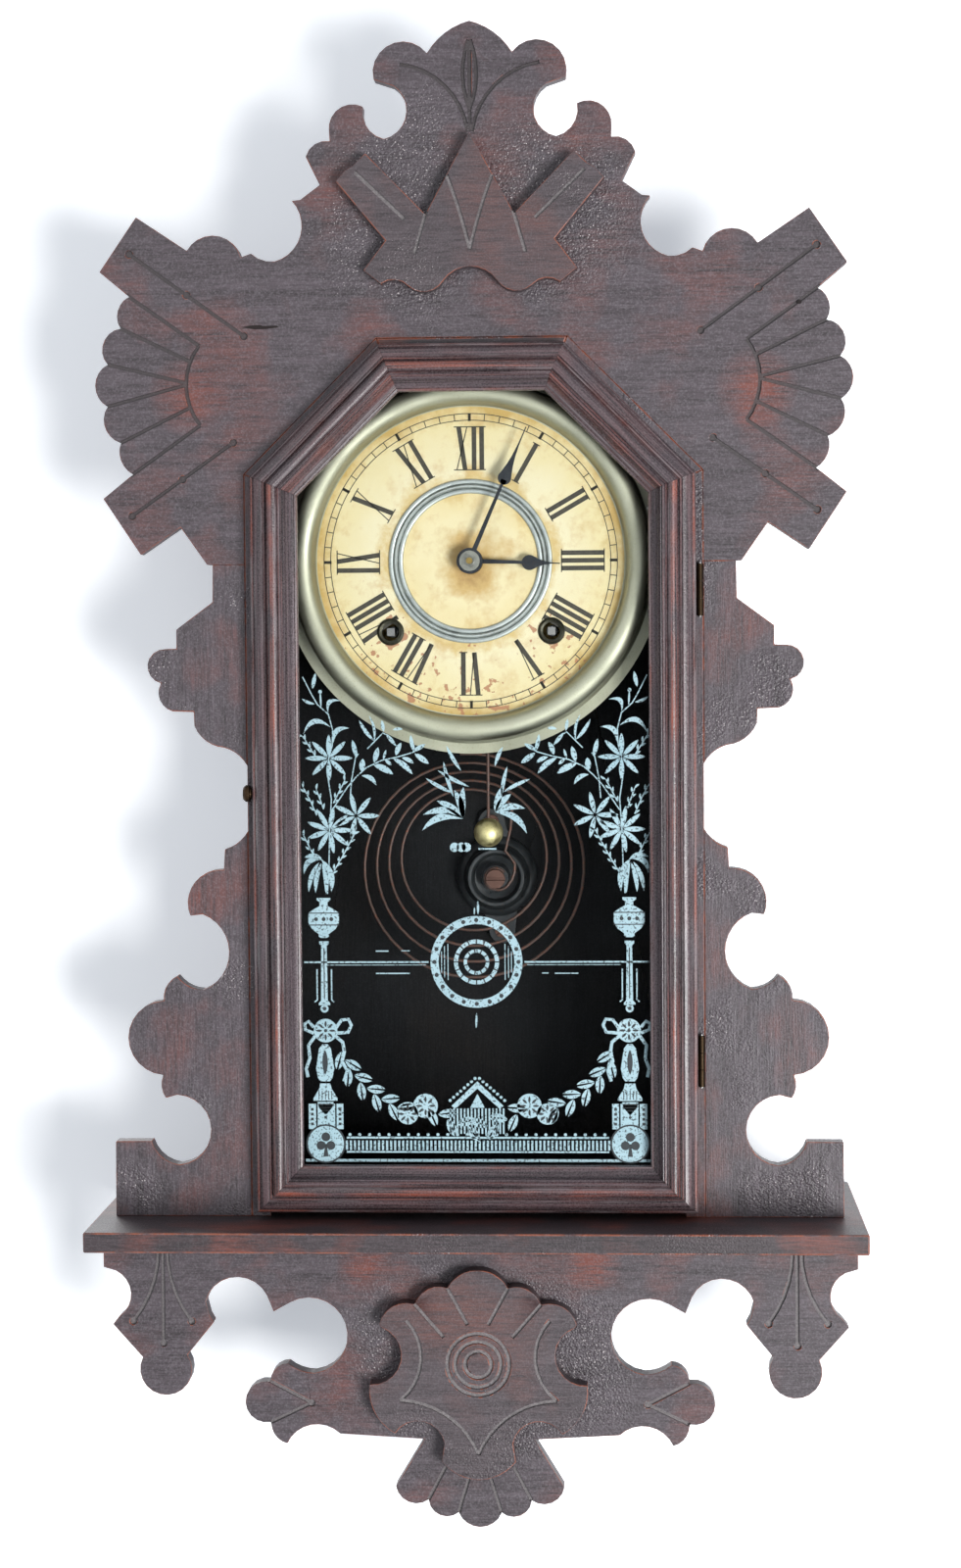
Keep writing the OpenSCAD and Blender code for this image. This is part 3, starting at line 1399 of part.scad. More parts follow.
// Knob, spindle and hooked tongue in one piece, drawn unlatched: the tongue stands up
module catch_knob() {
    x_out = case_half - door_reveal + 0.5;
    tongue_x = pocket_x1 + 1.2;
    color([0.35, 0.24, 0.12]) face(catch_f) translate([0, catch_z, 0]) {
        translate([-x_out - 4.2, 0, 0]) rotate([0, 90, 0]) {
            cylinder(h = 1.2, r1 = knob_r - 1, r2 = knob_r, $fn = 32);
            translate([0, 0, 1.2]) cylinder(h = 2, r = knob_r, $fn = 32);
            translate([0, 0, 3.2]) cylinder(h = 0.8, r = knob_r - 1.2, $fn = 32);
            translate([0, 0, 4]) cylinder(h = x_out + 0.2 - tongue_x - 1, r = spindle_r, $fn = 32);
        }
        translate([-tongue_x - 2, -1.6, -1.25]) cube([2, tongue_l + 1.6, 2.5]);
        translate([-tongue_x - 2, tongue_l - 2.5, -1.25 - 2.2]) cube([2, 2.5, 2.4]);
    }
}

module catch_keeper() {
    color(brass) face(catch_f - keeper_back)
        translate([-inner_half - 5, catch_z - keeper_drop, 0]) rotate([0, 90, 0])
            cylinder(h = 9, r = keeper_r, $fn = 24);
}

back_board();
case_side_left();
case_side_right();
case_shoulders();
case_top();
shelf();
apron_board();
shell_overlay();
crest_board();
crest_overlay();
wing_left();
wing_right();
glue_blocks();
dial_battens();
hanger_plate();
case_screws();
gong_base();
gong_coil();
gong_screws();
dial_pan();
dial_paper();
dial_ring();
dial_grommets();
movement_back_plate();
movement_front_plate();
movement_pillars();
pillar_nuts();
mainsprings();
suspension_post();
time_winding_arbor();
strike_winding_arbor();
time_great_wheel();
time_second_wheel();
center_wheel();
third_wheel();
escape_wheel();
verge();
pendulum_rod();
pendulum_bob();
strike_great_wheel();
strike_second_wheel();
strike_third_wheel();
fly();
strike_hammer();
minute_wheel();
hour_wheel();
hour_hand();
minute_hand();
hand_nut();
door_stiles();
door_shoulders();
door_rails();
door_glass();
glass_beads();
door_hinge_leaves();
case_hinge_leaves();
hinge_pins();
catch_knob();
catch_keeper();
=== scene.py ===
"""The looks of a hanging wall clock with a fretwork case, piece by piece as it is put together."""

import json
import math

import bmesh
import bpy
from mathutils import Matrix, Vector

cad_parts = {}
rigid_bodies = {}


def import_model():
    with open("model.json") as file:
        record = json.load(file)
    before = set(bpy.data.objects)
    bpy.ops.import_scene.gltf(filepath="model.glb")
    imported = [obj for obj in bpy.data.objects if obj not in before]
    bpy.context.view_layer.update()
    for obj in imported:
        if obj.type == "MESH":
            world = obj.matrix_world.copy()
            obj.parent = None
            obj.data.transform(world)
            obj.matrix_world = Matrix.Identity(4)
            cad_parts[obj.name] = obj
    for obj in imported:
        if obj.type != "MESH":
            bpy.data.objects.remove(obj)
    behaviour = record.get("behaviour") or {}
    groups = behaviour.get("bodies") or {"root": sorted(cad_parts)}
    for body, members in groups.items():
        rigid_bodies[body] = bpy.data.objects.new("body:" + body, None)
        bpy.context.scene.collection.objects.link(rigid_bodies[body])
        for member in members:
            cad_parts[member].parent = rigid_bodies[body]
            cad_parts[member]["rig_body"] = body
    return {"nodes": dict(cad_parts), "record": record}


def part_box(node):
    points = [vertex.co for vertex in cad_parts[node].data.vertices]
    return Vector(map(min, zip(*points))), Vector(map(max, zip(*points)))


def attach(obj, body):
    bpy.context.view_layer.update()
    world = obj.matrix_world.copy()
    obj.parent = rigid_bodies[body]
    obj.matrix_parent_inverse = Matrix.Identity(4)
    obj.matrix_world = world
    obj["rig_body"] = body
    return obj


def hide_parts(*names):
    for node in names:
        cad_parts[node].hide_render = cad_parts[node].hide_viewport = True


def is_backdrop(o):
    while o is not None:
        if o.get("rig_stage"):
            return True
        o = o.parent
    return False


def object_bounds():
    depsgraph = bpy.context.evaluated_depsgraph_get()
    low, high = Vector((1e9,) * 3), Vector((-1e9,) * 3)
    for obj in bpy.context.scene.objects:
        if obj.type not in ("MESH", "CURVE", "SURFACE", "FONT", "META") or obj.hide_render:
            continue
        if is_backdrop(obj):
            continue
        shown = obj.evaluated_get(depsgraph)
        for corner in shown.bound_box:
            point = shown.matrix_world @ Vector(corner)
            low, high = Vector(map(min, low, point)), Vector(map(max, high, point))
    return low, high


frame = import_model()
cad_low, cad_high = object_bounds()

# ---- Case box ----
# Back, sides, cut shoulders, top and shelf are planed hardwood boards, glued and nailed,
# stained red-brown and varnished. The varnish has darkened and crazed into fine pebbles,
# and handling has worn it off the corners, down to the red stain.
slots = {row["node"]: row["material_slot"] for row in frame["record"]["subparts"]}
board_edge = 0.0004
crease = math.radians(32)
# How deep the cut lines go, and how far off that depth still counts as cut, in mm.
cut_depth, cut_slack = 1.1, 0.6


def colour(code):
    """An sRGB hex colour as the linear colour of a shader socket."""
    parts = [int(code[i : i + 2], 16) / 255 for i in (1, 3, 5)]
    return (*[p / 12.92 if p <= 0.04045 else ((p + 0.055) / 1.055) ** 2.4 for p in parts], 1.0)


def feed(node, inputs):
    """Gives inputs their values or links them, a node standing for its first output in use."""
    for key, value in inputs.items():
        if isinstance(value, bpy.types.Node):
            value = next(socket for socket in value.outputs if socket.enabled)
        if isinstance(value, bpy.types.NodeSocket):
            node.id_data.links.new(value, node.inputs[key])
        else:
            node.inputs[key].default_value = value


def add(tree, kind, inputs=None, **settings):
    """One node, with its properties set and its inputs fed."""
    node = tree.nodes.new(kind)
    for name, value in settings.items():
        if name == "stops":
            ramp = node.color_ramp.elements
            while len(ramp) < len(value):
                ramp.new(1.0)
            for stop, (place, shade) in zip(ramp, value):
                stop.position, stop.color = place, shade
        else:
            setattr(node, name, value)
    feed(node, inputs or {})
    return node


def finish(name):
    """A new material: its tree, its surface shader and the place on the piece in millimetres."""
    material = bpy.data.materials.new(name)
    material.use_nodes = True
    tree = material.node_tree
    shader = tree.nodes["Principled BSDF"]
    place = add(tree, "ShaderNodeTexCoord")
    mm = add(tree, "ShaderNodeVectorMath", {0: place.outputs["Object"], 1: (1000, 1000, 1000)},
             operation="MULTIPLY")
    return material, tree, shader, mm


def placed(name, data):
    """An object for a mesh, a lamp or a camera, in the scene at the origin."""
    thing = bpy.data.objects.new(name, data)
    bpy.context.scene.collection.objects.link(thing)
    return thing


def settled(piece):
    """Turns what the modifiers make into the piece's own plain mesh."""
    shaped = piece.evaluated_get(bpy.context.evaluated_depsgraph_get())
    piece.data = bpy.data.meshes.new_from_object(shaped)
    piece.modifiers.clear()
    return piece


def crazed_varnish(name, grain, dark="#221a1d", mid="#51484e", red="#6b352a", worn=False, dust=1.0,
                   face=None, pebbled=None, thinned=None, cut_dust="#9a9495"):
    """Old varnish on stained hardwood, brushed on and crazed: a dull red-brown with fine streaks
    along the grain, whose skin has drawn up into dusty pebbles. Its grey haze is dust and painted
    sheen, and its pale specks are dust and painted glints. Worn shows the red stain, dust
    is how far the dust has come (1 on the front of the case), pebbled and thinned are places on
    both sides of the middle (x, z, radius in mm) where the varnish has puddled or rubbed away,
    and lines cut below the face (mm) hold dust."""
    material, tree, shader, mm = finish(name)
    fine, broad = [1 / 0.7] * 3, [1 / 4] * 3
    fine[grain], broad[grain] = 1 / 9, 1 / 60
    fine_place = add(tree, "ShaderNodeMapping", {"Vector": mm, "Scale": fine})
    fibre = add(tree, "ShaderNodeTexNoise", {"Vector": fine_place, "Scale": 1.0, "Detail": 4.0,
                                             "Roughness": 0.6})
    broad_place = add(tree, "ShaderNodeMapping", {"Vector": mm, "Scale": broad})
    figure = add(tree, "ShaderNodeTexNoise", {"Vector": broad_place, "Scale": 1.0, "Detail": 4.0})
    patch = add(tree, "ShaderNodeTexNoise", {"Vector": mm, "Scale": 1 / 42, "Detail": 4.0})
    grit = add(tree, "ShaderNodeTexNoise", {"Vector": mm, "Scale": 1 / 0.8, "Detail": 3.0})
    split = add(tree, "ShaderNodeSeparateXYZ", {0: mm})
    mirrored = add(tree, "ShaderNodeMath", {0: split.outputs[0]}, operation="ABSOLUTE")
    flat = add(tree, "ShaderNodeCombineXYZ", {0: mirrored, 2: split.outputs[2]})
    drawn = add(tree, "ShaderNodeMapRange", {"Value": patch, "From Min": 0.48, "From Max": 0.38})
    if pebbled:
        away = add(tree, "ShaderNodeVectorMath", {0: flat, 1: (pebbled[0], 0, pebbled[1])},
                   operation="DISTANCE")
        strayed = add(tree, "ShaderNodeMath", {0: patch, 1: 60.0, 2: away}, operation="MULTIPLY_ADD")
        drawn = add(tree, "ShaderNodeMapRange", {"Value": strayed, "From Min": pebbled[2] + 42,
                                                 "From Max": pebbled[2] + 18})
    both = add(tree, "ShaderNodeMix", {0: 0.35, 2: fibre, 3: figure})
    show = add(tree, "ShaderNodeMapRange", {"Value": both, "From Min": 0.33, "From Max": 0.67})
    tone = add(tree, "ShaderNodeMix", {0: show, 6: colour(dark), 7: colour(mid)}, data_type="RGBA")
    thin = add(tree, "ShaderNodeMapRange", {"Value": patch, "From Min": 0.49, "From Max": 0.7})
    if thinned:
        off = add(tree, "ShaderNodeVectorMath", {0: flat, 1: (thinned[0], 0, thinned[1])},
                  operation="DISTANCE")
        spread = add(tree, "ShaderNodeMapRange", {"Value": off, "From Min": thinned[2], "To Min": 0.0,
                                                  "To Max": 1.6})
        thin = add(tree, "ShaderNodeMath", {0: thin, 1: spread}, operation="ADD")
    reds = add(tree, "ShaderNodeMath", {0: thin, 1: show}, operation="MULTIPLY", use_clamp=True)
    if worn:
        bare = add(tree, "ShaderNodeTexNoise", {"Vector": mm, "Scale": 1 / 8, "Detail": 4.0})
        reds = add(tree, "ShaderNodeMapRange", {"Value": bare, "From Min": 0.38, "From Max": 0.58,
                                                "To Min": 0.15})
    stained = add(tree, "ShaderNodeMix", {0: reds, 6: tone, 7: colour(red)}, data_type="RGBA")
    # Grey patches are dust and painted sheen of the varnish.
    dust_and_sheen = add(tree, "ShaderNodeMapRange", {"Value": grit, "From Min": 0.46, "From Max": 0.8,
                                            "To Max": 0.38 * dust})
    last = add(tree, "ShaderNodeMix", {0: dust_and_sheen, 6: stained, 7: colour("#878288")}, data_type="RGBA")
    if face is not None:
        shape = add(tree, "ShaderNodeNewGeometry")
        facing = add(tree, "ShaderNodeSeparateXYZ", {0: shape.outputs["Normal"]})
        below = add(tree, "ShaderNodeMath", {0: split.outputs[1], 1: cut_depth - face, 2: cut_slack},
                    operation="COMPARE")
        level = add(tree, "ShaderNodeMath", {0: facing.outputs[1], 1: -0.8}, operation="LESS_THAN")
        cut = add(tree, "ShaderNodeMath", {0: below, 1: level}, operation="MULTIPLY")
        lodged = add(tree, "ShaderNodeMix", {0: grit, 6: colour("#120e0f"), 7: colour(cut_dust)},
                     data_type="RGBA")
        amount = add(tree, "ShaderNodeMath", {0: cut, 1: 0.85}, operation="MULTIPLY")
        last = add(tree, "ShaderNodeMix", {0: amount, 6: last, 7: lodged}, data_type="RGBA")
    # Pale specks are dust and painted glints on the pebbles.
    cell = add(tree, "ShaderNodeTexVoronoi", {"Vector": mm, "Scale": 1 / 1.7})
    size = add(tree, "ShaderNodeMath", {0: drawn, 1: 0.16 * dust, 2: 0.02 * dust}, operation="MULTIPLY_ADD")
    speck = add(tree, "ShaderNodeMath", {0: cell, 1: size}, operation="LESS_THAN")
    dust_and_glints = add(tree, "ShaderNodeMix", {0: speck, 6: last, 7: colour("#a39b9c")}, data_type="RGBA")
    rough = add(tree, "ShaderNodeMapRange", {"Value": grit, "From Min": 0.3, "From Max": 0.7,
                                             "To Min": 0.34, "To Max": 0.58})
    pebble = add(tree, "ShaderNodeTexVoronoi", {"Vector": mm, "Scale": 1 / 0.9}, feature="SMOOTH_F1")
    rise = add(tree, "ShaderNodeMath", {0: drawn, 1: 1.7 * dust, 2: 0.1 * dust}, operation="MULTIPLY_ADD")
    bubbled = add(tree, "ShaderNodeMath", {0: pebble, 1: rise}, operation="MULTIPLY")
    pores = add(tree, "ShaderNodeMath", {0: fibre, 1: 0.5, 2: bubbled}, operation="MULTIPLY_ADD")
    height = add(tree, "ShaderNodeMath", {0: grit, 1: 0.2, 2: pores}, operation="MULTIPLY_ADD")
    bump = add(tree, "ShaderNodeBump", {"Strength": 0.3 + 0.3 * dust, "Distance": 0.0005, "Height": height})
    feed(shader, {"Base Color": dust_and_glints, "Roughness": rough, "Normal": bump, "IOR": 1.5})
    return material


def dressed(node, materials, edge=0.0, steps=2, cut_lines=False):
    """Stands a welded copy in for a CAD piece, with its sharp edges broken by a small round. The
    edges of lines that are only cut into a board's face stay crisp."""
    bare = bmesh.new()
    bare.from_mesh(frame["nodes"][node].data)
    bmesh.ops.remove_doubles(bare, verts=bare.verts, dist=1e-6)
    bmesh.ops.dissolve_limit(bare, angle_limit=math.radians(0.5), verts=bare.verts, edges=bare.edges)
    depths = [vertex.co.y for vertex in bare.verts]
    weight = bare.edges.layers.float.new("bevel_weight_edge")
    for corner in bare.edges:
        whole = True
        for side in corner.link_faces:
            reach = [vertex.co.y for vertex in side.verts]
            on_face = min(abs(reach[0] - min(depths)), abs(reach[0] - max(depths))) < 1e-5
            whole = whole and (max(reach) - min(reach) > board_edge * 8 or on_face)
        if corner.calc_face_angle(0) > crease and (whole or not cut_lines):
            corner[weight] = 1.0
    bmesh.ops.triangulate(bare, faces=[face for face in bare.faces if len(face.verts) > 4])
    mesh = bpy.data.meshes.new(node + "_skin")
    bare.to_mesh(mesh)
    bare.free()
    if "custom_normal" in mesh.attributes:
        mesh.attributes.remove(mesh.attributes["custom_normal"])
    for material in materials:
        mesh.materials.append(material)
    mesh.shade_smooth()
    mesh.set_sharp_from_angle(angle=crease)
    piece = placed(node + "_piece", mesh)
    if edge:
        broken = piece.modifiers.new("broken_edges", "BEVEL")
        broken.width, broken.segments, broken.limit_method = edge, steps, "WEIGHT"
        broken.material = len(materials) - 1
        broken.harden_normals = True
        broken.use_clamp_overlap = False
        settled(piece)
    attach(piece, frame["nodes"][node]["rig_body"])
    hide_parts(node)
    return piece


worn_across = crazed_varnish("worn_varnish_across_the_front", 0, red="#84462f", worn=True)
worn_upright = crazed_varnish("worn_varnish_upright", 2, red="#84462f", worn=True)
varnish_upright = crazed_varnish("crazed_varnish_upright", 2)
back_stain = crazed_varnish("dull_black_stain", 2, dark="#08090a", mid="#121416", red="#16120f", dust=0.08)
feed(back_stain.node_tree.nodes["Principled BSDF"], {"Specular IOR Level": 0.12})

# Bare basswood off the saw, gone brown with age: saw marks across the grain and dirt in the
# open pores.
bare_upright, tree, shader, mm = finish("bare_basswood_upright")
pores = add(tree, "ShaderNodeMapping", {"Vector": mm, "Scale": (1 / 1.1, 1 / 1.1, 1 / 34)})
fibre = add(tree, "ShaderNodeTexNoise", {"Vector": pores, "Scale": 1.0, "Detail": 5.0})
saw_marks = add(tree, "ShaderNodeMapping", {"Vector": mm, "Scale": (1 / 60, 1 / 60, 1 / 1.6)})
teeth = add(tree, "ShaderNodeTexNoise", {"Vector": saw_marks, "Scale": 1.0})
age = add(tree, "ShaderNodeTexNoise", {"Vector": mm, "Scale": 1 / 55, "Detail": 4.0})
blend = add(tree, "ShaderNodeMix", {0: 0.5, 2: fibre, 3: age})
level = add(tree, "ShaderNodeMapRange", {"Value": blend, "From Min": 0.36, "From Max": 0.64})
tone = add(tree, "ShaderNodeMix", {0: level, 6: colour("#5f452e"), 7: colour("#8d6f4f")}, data_type="RGBA")
both = add(tree, "ShaderNodeMath", {0: teeth, 1: 0.6, 2: fibre}, operation="MULTIPLY_ADD")
bump = add(tree, "ShaderNodeBump", {"Strength": 0.5, "Distance": 0.0004, "Height": both})
feed(shader, {"Base Color": tone, "Normal": bump, "Roughness": 0.82})
back = dressed("back_board", [back_stain, bare_upright], board_edge)
for face in back.data.polygons:
    if face.normal.y > 0.9:
        face.material_index = 1
for side in ("case_side_left", "case_side_right", "case_shoulders"):
    dressed(side, [varnish_upright, worn_upright], board_edge)
shelf_varnish = crazed_varnish("streaky_varnish_of_shelf", 0, dark="#1a1315", mid="#41363a", red="#7a3a29",
                               dust=0.4)
for flat in ("case_top", "shelf"):
    dressed(flat, [shelf_varnish, worn_across], 2 * board_edge)

# ---- Fretwork ----
# Crest, wings and apron are sawn from 9 mm board with a jigsaw and glued to the case edge.
# Their lines are cut with a veining tool, and the two overlays are glued on the front.
fret_face = -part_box("crest_board")[0].y * 1000
for fret, puddled, rubbed, lodged in (("crest_board", (32, 46, 44), (132, -40, 20), "#4a4344"),
                                      ("apron_board", (26, -492, 38), (54, -450, 14), "#8d8788")):
    fret_skin = crazed_varnish(fret + "_varnish", 0, face=fret_face, pebbled=puddled, thinned=rubbed,
                               cut_dust=lodged)
    dressed(fret, [fret_skin, worn_across], 0.75 * board_edge, cut_lines=True)
for wing in ("wing_left", "wing_right"):
    dressed(wing, [varnish_upright, worn_upright], board_edge)
for overlay in ("crest_overlay", "shell_overlay"):
    overlay_face = -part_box(overlay)[0].y * 1000
    overlay_skin = crazed_varnish(overlay + "_varnish", 0, mid="#50464a", red="#603830", dust=0.7,
                                  face=overlay_face)
    dressed(overlay, [overlay_skin, worn_across], board_edge, cut_lines=True)


def slabs(name, outlines, y_front, y_back, material):
    """Flat outlines in the plane of the front (x, z), each given a thickness, as one object."""
    shape = bmesh.new()
    for outline in outlines:
        area = sum(a[0] * b[1] - b[0] * a[1] for a, b in zip(outline, outline[1:] + outline[:1]))
        turned = outline if area > 0 else outline[::-1]
        front = [shape.verts.new((x, y_front, z)) for x, z in turned]
        rear = [shape.verts.new((x, y_back, z)) for x, z in turned]
        shape.faces.new(front)
        shape.faces.new(rear[::-1])
        for i in range(len(front)):
            j = (i + 1) % len(front)
            shape.faces.new((front[j], front[i], rear[i], rear[j]))
    mesh = bpy.data.meshes.new(name)
    bmesh.ops.recalc_face_normals(shape, faces=shape.faces)
    shape.to_mesh(mesh)
    shape.free()
    mesh.materials.append(material)
    return placed(name, mesh)


def mottled(tree, mm, patch, dark, pale, detail=2.0):
    """Two shades that change into one another in soft patches of a size in millimetres."""
    cloud = add(tree, "ShaderNodeTexNoise", {"Vector": mm, "Scale": 1 / patch, "Detail": detail})
    return add(tree, "ShaderNodeMix", {0: cloud, 6: colour(dark), 7: colour(pale)}, data_type="RGBA")


# A shrinkage crack and a nail hole that were never filled, drawn as flat near-black patches on the face:
# painted shade for their open insides.
crack_shade, tree, shader, mm = finish("painted_shade_in_crack_and_hole")
feed(shader, {"Base Color": mottled(tree, mm, 2, "#0b0707", "#1d1110"), "Roughness": 0.9})
crack_foot = [(-107.6, -8.7), (-101.0, -9.8), (-96.0, -9.7), (-89.6, -8.9)]
crack_head = [(-91.0, -8.1), (-97.5, -8.2), (-98.5, -7.7), (-103.0, -7.9)]
flaw_proud, flaw_deep = 0.00002, 0.0003
nail_hole = [(151.7 + 1.1 * math.cos(math.tau * k / 12), -0.4 + 0.9 * math.sin(math.tau * k / 12))
             for k in range(12)]
flaws = slabs("crack_and_nail_hole", [[(x / 1000, z / 1000) for x, z in flaw]
              for flaw in (crack_foot + crack_head, nail_hole)],
              -fret_face / 1000 - flaw_proud, -fret_face / 1000 + flaw_deep, crack_shade)
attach(flaws, "case")

# ---- Blocks, battens, hanger and screws ----
# Rough sawn blocks and blackened battens rubbed in with glue, and a japanned iron plate with its hole.
# The plate and the movement are held by countersunk and round-headed iron screws.
dressed("glue_blocks", [bare_upright], board_edge)
dressed("dial_battens", [back_stain], board_edge)


def worn_metal(name, base, bright, rough, metallic=1.0, grain=6.0, stain="#3a3128", stained=0.35):
    """Old metal with a handled surface: tarnish in soft patches, fine scratches and brown specks,
    so that its shine comes and goes. Grain is the size of the patches in millimetres."""
    material, tree, shader, mm = finish(name)
    cloud = add(tree, "ShaderNodeTexNoise", {"Vector": mm, "Scale": 1 / grain, "Detail": 4.0})
    fleck = add(tree, "ShaderNodeTexNoise", {"Vector": mm, "Scale": 1 / 0.8, "Detail": 3.0})
    tone = add(tree, "ShaderNodeMix", {0: cloud, 6: colour(base), 7: colour(bright)}, data_type="RGBA")
    spots = add(tree, "ShaderNodeMapRange", {"Value": fleck, "From Min": 0.56, "From Max": 0.72,
                                             "To Max": stained})
    spotted = add(tree, "ShaderNodeMix", {0: spots, 6: tone, 7: colour(stain)}, data_type="RGBA")
    dull = add(tree, "ShaderNodeMapRange", {"Value": cloud, "From Min": 0.3, "From Max": 0.7,
                                            "To Min": rough * 0.75, "To Max": rough * 1.3})
    bump = add(tree, "ShaderNodeBump", {"Strength": 0.15, "Distance": 0.0001, "Height": fleck})
    feed(shader, {"Base Color": spotted, "Roughness": dull, "Normal": bump, "Metallic": metallic})
    return material


black_japan = worn_metal("black_japan_on_cast_iron", "#1c2023", "#363a3c", 0.34, metallic=0.0,
                         stain="#4a3a2a", stained=0.5)
plain_steel = worn_metal("drawn_steel", "#6f6f70", "#94938f", 0.35, stain="#5a4632")
dressed("hanger_plate", [black_japan], 0.0003)
dressed("case_screws", [plain_steel])

# ---- Gong ----
# A strike gong: iron wire wound in a flat sagging spiral, its inner end looped under a
# coppered screw in a japanned cast-iron bell, which two more screws hold to the back board.
wire_radius = 0.00075
gong_low, gong_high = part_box("gong_base")
gong_x, gong_z = (gong_low.x + gong_high.x) / 2, (gong_low.z + gong_high.z) / 2
wire_y = (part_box("gong_coil")[0].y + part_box("gong_coil")[1].y) / 2
coil_x, coil_z = gong_x - 0.012, gong_z + 0.0115
coil_outer, coil_inner, coil_turns, coil_sag = 0.057, 0.032, 4, 0.007
start_angle, turn_points = 95, 48
loop_start, loop_sweep, loop_points, loop_radius, loop_lead = -35, 290, 20, 0.0052, 0.0016

rusty_wire = worn_metal("rusted_iron_wire", "#40332d", "#6d5850", 0.5, metallic=0.4, grain=14.0,
                        stain="#8a4a30", stained=0.8)
copper_plate = worn_metal("coppered_screw", "#4f3830", "#6d4f44", 0.45, metallic=0.6, stain="#2a1c17")
dressed("gong_base", [black_japan], 0.0002)
dressed("gong_screws", [copper_plate], 0.00015)

path = []
steps = coil_turns * turn_points + 6
for i in range(steps + 1):
    out = 1 - i / steps
    turn = math.radians(start_angle - 360 * i / turn_points)
    radius = coil_inner + (coil_outer - coil_inner) * out
    path.append((coil_x + radius * math.cos(turn), coil_z - coil_sag * out + radius * math.sin(turn)))
stem = [(8, 30), (7.4, 24), (6, 18.5), (4.9, 13.6), (7.4, 10.6), (9.6, 7.4), (9.4, 3.4), (8, -0.6)]
path += [(gong_x + dx / 1000, gong_z + dz / 1000) for dx, dz in stem]
for k in range(loop_points + 1):
    turn = math.radians(loop_start - loop_sweep * k / loop_points)
    radius = loop_radius + loop_lead * max(0, 1 - k / 4)
    path.append((gong_x + radius * math.cos(turn), gong_z + radius * math.sin(turn)))


def group(name, inputs):
    """A Geometry Nodes tree with named inputs; gives the tree, its input node and its output node."""
    tree = bpy.data.node_groups.new(name, "GeometryNodeTree")
    tree.interface.new_socket("Geometry", in_out="INPUT", socket_type="NodeSocketGeometry")
    for label, kind in inputs:
        tree.interface.new_socket(label, in_out="INPUT", socket_type="NodeSocket" + kind)
    tree.interface.new_socket("Geometry", in_out="OUTPUT", socket_type="NodeSocketGeometry")
    return tree, add(tree, "NodeGroupInput"), add(tree, "NodeGroupOutput")


def grown(name, tree, values, points=(), edges=()):
    """A plain mesh object made by a tree, with its named inputs set, from a line of points."""
    mesh = bpy.data.meshes.new(name + "_line")
    mesh.from_pydata(points, edges, [])
    piece = placed(name, mesh)
    maker = piece.modifiers.new("made", "NODES")
    maker.node_group = tree
    for item in tree.interface.items_tree:
        if item.in_out == "INPUT" and item.name in values:
            maker[item.identifier] = values[item.name]
    return settled(piece)


def end_tree(tree, shapes, given, made):
    """The end of a tree: its instances made real, and the material set."""
    real = add(tree, "GeometryNodeRealizeInstances", {0: shapes})
    painted = add(tree, "GeometryNodeSetMaterial", {"Geometry": real,
                                                    "Material": given.outputs["Material"]})
    feed(made, {0: painted})


wire_tree, given, made = group("drawn_wire", [("Radius", "Float"), ("Press", "Vector"),
                                              ("Depth", "Vector"), ("Material", "Material")])
line = add(wire_tree, "GeometryNodeMeshToCurve", {0: given.outputs["Geometry"]})
section = add(wire_tree, "GeometryNodeCurvePrimitiveCircle", {"Resolution": 10,
                                                              "Radius": given.outputs["Radius"]})
drawn = add(wire_tree, "GeometryNodeCurveToMesh", {"Curve": line, "Profile Curve": section,
                                                   "Fill Caps": True})
smooth = add(wire_tree, "GeometryNodeSetShadeSmooth", {"Geometry": drawn})
pressed = add(wire_tree, "GeometryNodeTransform", {"Geometry": smooth, "Scale": given.outputs["Press"],
                                                   "Translation": given.outputs["Depth"]})
end_tree(wire_tree, pressed, given, made)
coil = grown("gong_wire_coil", wire_tree, {"Radius": wire_radius, "Press": (1.0, 1.0, 1.0),
             "Depth": (0.0, wire_y, 0.0), "Material": rusty_wire},
             [(x, 0.0, z) for x, z in path], [(i, i + 1) for i in range(len(path) - 1)])
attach(coil, "case")
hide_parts("gong_coil")

# ---- Movement ----
# An eight-day movement: stamped and lacquered brass plates and wheels, steel arbors, wire
# work and springs. The dial hides it, and it shows when the clock is taken apart.
clock_brass = worn_metal("lacquered_sheet_brass", "#84703f", "#a38c58", 0.32, grain=18.0, stain="#5b4322")
spring_steel = worn_metal("blued_spring_steel", "#3f4348", "#5c6066", 0.32, stain="#5a4632")
for node in frame["nodes"]:
    if slots[node] in ("clock_brass", "steel") and not frame["nodes"][node].hide_render:
        kept = frame["nodes"][node].data.materials
        kept.clear()
        kept.append(clock_brass if slots[node] == "clock_brass" else plain_steel)
frame["nodes"]["mainsprings"].data.materials[0] = spring_steel
for arbor in ("time_winding_arbor", "strike_winding_arbor"):
    dressed(arbor, [plain_steel], 0.0001)

# ---- Pendulum ----
# A short rod of iron wire, rusted, that hangs from the movement behind the dial, with a
# turned brass ball screwed on its end, which handling has kept bright.
ball_brass = worn_metal("polished_brass_ball", "#d9c884", "#f3ebbc", 0.5, grain=3.0, stain="#9b8748",
                        stained=0.35)
dressed("pendulum_rod", [rusty_wire])
dressed("pendulum_bob", [ball_brass])

